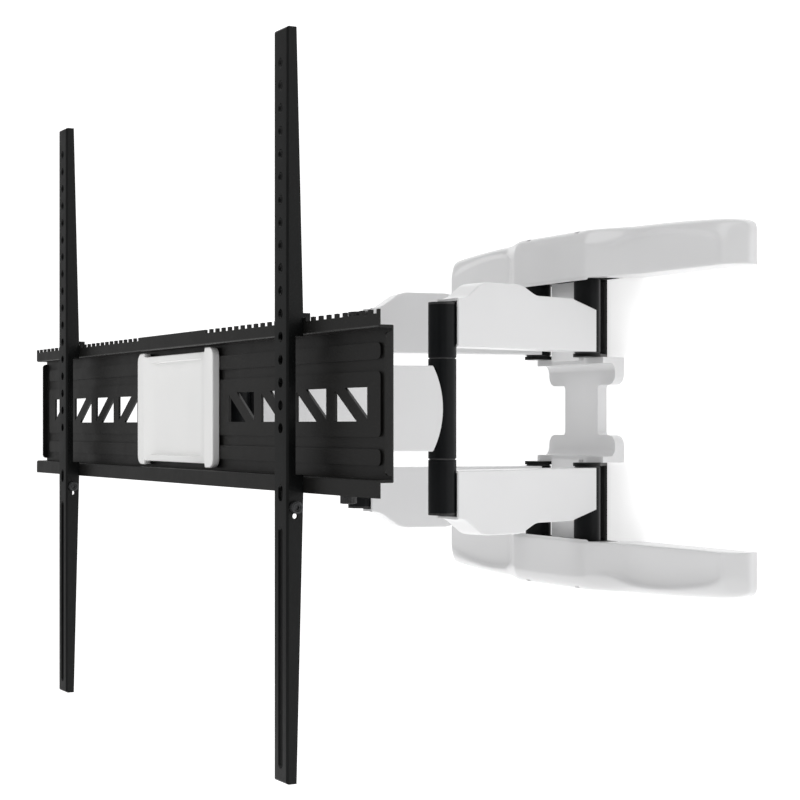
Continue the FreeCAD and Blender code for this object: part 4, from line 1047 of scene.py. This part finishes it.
class WALLMOUNT_OT_lip_knob(bpy.types.Operator):
    """Short grooved knob under the plate's lower lip"""

    bl_idname = "wallmount.lip_knob"
    bl_label = "Lip knob"

    def execute(self, context):
        low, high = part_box("lip_knob")
        knob = grip_head("lip_knob_grip", (high.x - low.x) / 2, high.z - low.z, KNOB_DISH)
        round_over(knob, KNOB_EDGE, 2)
        middle = (low + high) / 2
        put(knob, Matrix.Rotation(math.pi, 3, "X"), Vector((middle.x, middle.y, high.z)))
        even_light(knob)
        hang(knob, "lip_knob", cap_plastic())
        return {"FINISHED"}


# The ends of a bracket's web lie beyond this half width and within this distance of the wall
WEB_START = 0.045
WEB_REACH = 0.012


class WALLMOUNT_OT_wall_metal(bpy.types.Operator):
    """Painted steel of the wall bars, the post and the pivot brackets"""

    bl_idname = "wallmount.wall_metal"
    bl_label = "Wall metal"

    def execute(self, context):
        sizes = context.scene.wall_mount_sizes
        for level, up in zip(LEVELS, (1, -1)):
            self.bracket(sizes, f"{level}_pivot_bracket")
            node = f"{level}_wall_bar"
            low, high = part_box(node)
            outer = high.z if up > 0 else low.z
            bar = merged_copy(node, f"{node}_skin")
            shift(bar, lambda at: close(at.z, outer), (0, 0, -up * sizes.bar_clearance))
            even_light(bar)
            hang(bar, node, rail_coat())
        post = merged_copy("centre_post", "centre_post_skin")
        stretch(post, lambda at: True, (sizes.post_share, 1, 1), (0, 0, 0))
        even_light(post)
        hang(post, "centre_post", rail_coat())
        return {"FINISHED"}

    def bracket(self, sizes, node):
        """A pivot bracket whose web stays behind the tubes."""
        piece = merged_copy(node, f"{node}_skin")
        stretch(piece, lambda at: abs(at.x) > WEB_START and at.y > -WEB_REACH,
                (sizes.web_share, 1, 1), (0, 0, 0))
        dress(piece, node, sizes.steel_edge, 2, rail_coat())


class WALLMOUNT_OT_pins(bpy.types.Operator):
    """Plated pins, bolts and shafts, and the plastic bushes on them"""

    bl_idname = "wallmount.pins"
    bl_label = "Pins and bushes"

    def execute(self, context):
        sizes = context.scene.wall_mount_sizes
        pins = ("wall_pivot_pins", "head_pivot_pins", "swivel_pin", "tilt_bolt", "tilt_nut", "bracket_bolts")
        for node in pins:
            soften(node, sizes.steel_edge, 2, zinc_plating())
        for side in SIDES:
            dress_solid(f"{side}_elbow_shaft", zinc_plating())
            dress_solid(f"{side}_head_bushes", bush_plastic())
            low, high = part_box(f"{side}_elbow_caps")
            rim = (high.x - low.x) / 2 - sizes.flange_step
            for node in (f"{side}_wall_bushes", f"{side}_elbow_bushes"):
                piece = merged_copy(node, f"{node}_skin")
                widen_flanges(piece, middle_of(node), rim)
                even_light(piece)
                hang(piece, node, bush_plastic())
        dress_solid("swivel_bushes", bush_plastic())
        return {"FINISHED"}


class WALLMOUNT_OT_head(bpy.types.Operator):
    """Steel head behind the plate: yoke, swivel block and tilt bracket"""

    bl_idname = "wallmount.head"
    bl_label = "Head"

    def execute(self, context):
        edge = context.scene.wall_mount_sizes.steel_edge
        for node in ("yoke_plates", "swivel_block", "tilt_bracket"):
            soften(node, edge, 2, rail_coat())
        return {"FINISHED"}


# How far the pale wall stands behind the mount
WALL_GAP = 0.0005
# Tone and glow of the pale wall and floor
PALE_TONE = 0.62
PALE_GLOW = 0.70
# Where the lights aim
AIM = Vector((0, -0.25, 0))
# Width of the camera's sensor, in millimetres
SENSOR_WIDTH = 36.0


class WALLMOUNT_OT_stage(bpy.types.Operator):
    """Pale wall and floor, soft lights and the camera"""

    bl_idname = "wallmount.stage"
    bl_label = "Stage"

    def execute(self, context):
        stage = context.scene.wall_mount_stage
        wall = self.plane("stage_wall", stage.wall_half_width, (0, WALL_GAP, 0), (math.pi / 2, 0, 0))
        floor = self.plane("stage_floor", stage.wall_half_width, (0, 0, -stage.floor_drop), (0, 0, 0))
        set_material(wall, self.pale("pale_wall"))
        set_material(floor, self.pale("pale_floor"))
        lights = [
            self.light("key_light", stage.key, size=2.4, place=(-0.2, -2.4, 2.0)),
            self.light("side_light", stage.side, size=2.0, place=(2.6, -0.9, 0.6)),
        ]
        self.sky(context.scene, stage.sky)
        self.camera(context.scene, stage)
        context.scene.view_settings.view_transform = "Standard"
        return {"FINISHED"}

    def plane(self, name, half, place, turn):
        """A wide plane of the stage, with its place in its mesh."""
        bpy.ops.mesh.primitive_plane_add(size=half * 2, location=place, rotation=turn)
        piece = bpy.context.object
        piece.name = name
        bpy.ops.object.transform_apply()
        return piece

    def pale(self, name):
        """A pale matt surface that is clear when seen from behind."""
        material = bpy.data.materials.new(name)
        material.use_nodes = True
        tree = material.node_tree
        shader = tree.nodes["Principled BSDF"]
        set_inputs(shader, {"Base Color": (PALE_TONE, PALE_TONE, PALE_TONE, 1), "Roughness": 0.9})
        set_inputs(shader, {"Emission Color": (1, 1, 1, 1), "Emission Strength": PALE_GLOW})
        set_inputs(shader, {"Specular IOR Level": 0.1})
        clear = tree.nodes.new("ShaderNodeBsdfTransparent")
        side = tree.nodes.new("ShaderNodeNewGeometry")
        choose = tree.nodes.new("ShaderNodeMixShader")
        output = tree.nodes["Material Output"]
        ends = (side.outputs["Backfacing"], shader.outputs["BSDF"], clear.outputs["BSDF"])
        for end, socket in zip(ends, choose.inputs):
            tree.links.new(end, socket)
        tree.links.new(choose.outputs["Shader"], output.inputs["Surface"])
        return material

    def light(self, name, power, size, place):
        """A square soft light that faces the mount."""
        bpy.ops.object.light_add(type="AREA", location=place)
        light = bpy.context.object
        light.name = name
        light.data.energy = power
        light.data.size = size
        light.rotation_euler = (AIM - Vector(place)).to_track_quat("-Z", "Y").to_euler()
        return light

    def sky(self, scene, strength):
        """Even white light from all round."""
        world = bpy.data.worlds.new("studio_room")
        world.use_nodes = True
        set_inputs(world.node_tree.nodes["Background"], {"Color": (1, 1, 1, 1), "Strength": strength})
        scene.world = world

    def camera(self, scene, stage):
        """A level camera at the photograph's angle."""
        data = bpy.data.cameras.new("photo_camera")
        data.lens = stage.lens
        data.sensor_width = SENSOR_WIDTH
        data.shift_y = stage.shift
        camera = bpy.data.objects.new("photo_camera", data)
        camera.location = stage.camera_place
        camera.rotation_euler = (math.pi / 2, 0, stage.camera_turn)
        scene.collection.objects.link(camera)
        scene.camera = camera


OPERATORS = (
    WALLMOUNT_OT_wall_covers,
    WALLMOUNT_OT_centre_cover,
    WALLMOUNT_OT_arm_covers,
    WALLMOUNT_OT_front_tray,
    WALLMOUNT_OT_arms,
    WALLMOUNT_OT_elbow_caps,
    WALLMOUNT_OT_tv_plate,
    WALLMOUNT_OT_rails,
    WALLMOUNT_OT_lock_screws,
    WALLMOUNT_OT_lip_knob,
    WALLMOUNT_OT_wall_metal,
    WALLMOUNT_OT_pins,
    WALLMOUNT_OT_head,
    WALLMOUNT_OT_stage,
)


class WALLMOUNT_PT_panel(bpy.types.Panel):
    """The wall mount's pieces, sizes and colours"""

    bl_idname = "WALLMOUNT_PT_panel"
    bl_label = "Wall mount"
    bl_space_type = "VIEW_3D"
    bl_region_type = "UI"
    bl_category = "Wall mount"

    def draw(self, context):
        scene = context.scene
        for group in (scene.wall_mount_colours, scene.wall_mount_sizes, scene.wall_mount_stage):
            box = self.layout.box()
            for label in group.bl_rna.properties.keys():
                if label not in ("rna_type", "name"):
                    box.prop(group, label)
        for operator in OPERATORS:
            self.layout.operator(operator.bl_idname)


KINDS = (WallMountColours, WallMountSizes, WallMountStage, *OPERATORS, WALLMOUNT_PT_panel)


def register():
    for kind in KINDS:
        bpy.utils.register_class(kind)
    bpy.types.Scene.wall_mount_colours = bpy.props.PointerProperty(type=WallMountColours)
    bpy.types.Scene.wall_mount_sizes = bpy.props.PointerProperty(type=WallMountSizes)
    bpy.types.Scene.wall_mount_stage = bpy.props.PointerProperty(type=WallMountStage)


def unregister():
    del bpy.types.Scene.wall_mount_stage
    del bpy.types.Scene.wall_mount_sizes
    del bpy.types.Scene.wall_mount_colours
    for kind in reversed(KINDS):
        bpy.utils.unregister_class(kind)


def main():
    register()
    bpy.ops.wallmount.wall_covers()
    bpy.ops.wallmount.centre_cover()
    bpy.ops.wallmount.arm_covers()
    bpy.ops.wallmount.front_tray()
    bpy.ops.wallmount.arms()
    bpy.ops.wallmount.elbow_caps()
    bpy.ops.wallmount.tv_plate()
    bpy.ops.wallmount.rails()
    bpy.ops.wallmount.lock_screws()
    bpy.ops.wallmount.lip_knob()
    bpy.ops.wallmount.wall_metal()
    bpy.ops.wallmount.pins()
    bpy.ops.wallmount.head()
    bpy.ops.wallmount.stage()


if __name__ == "__main__":
    main()
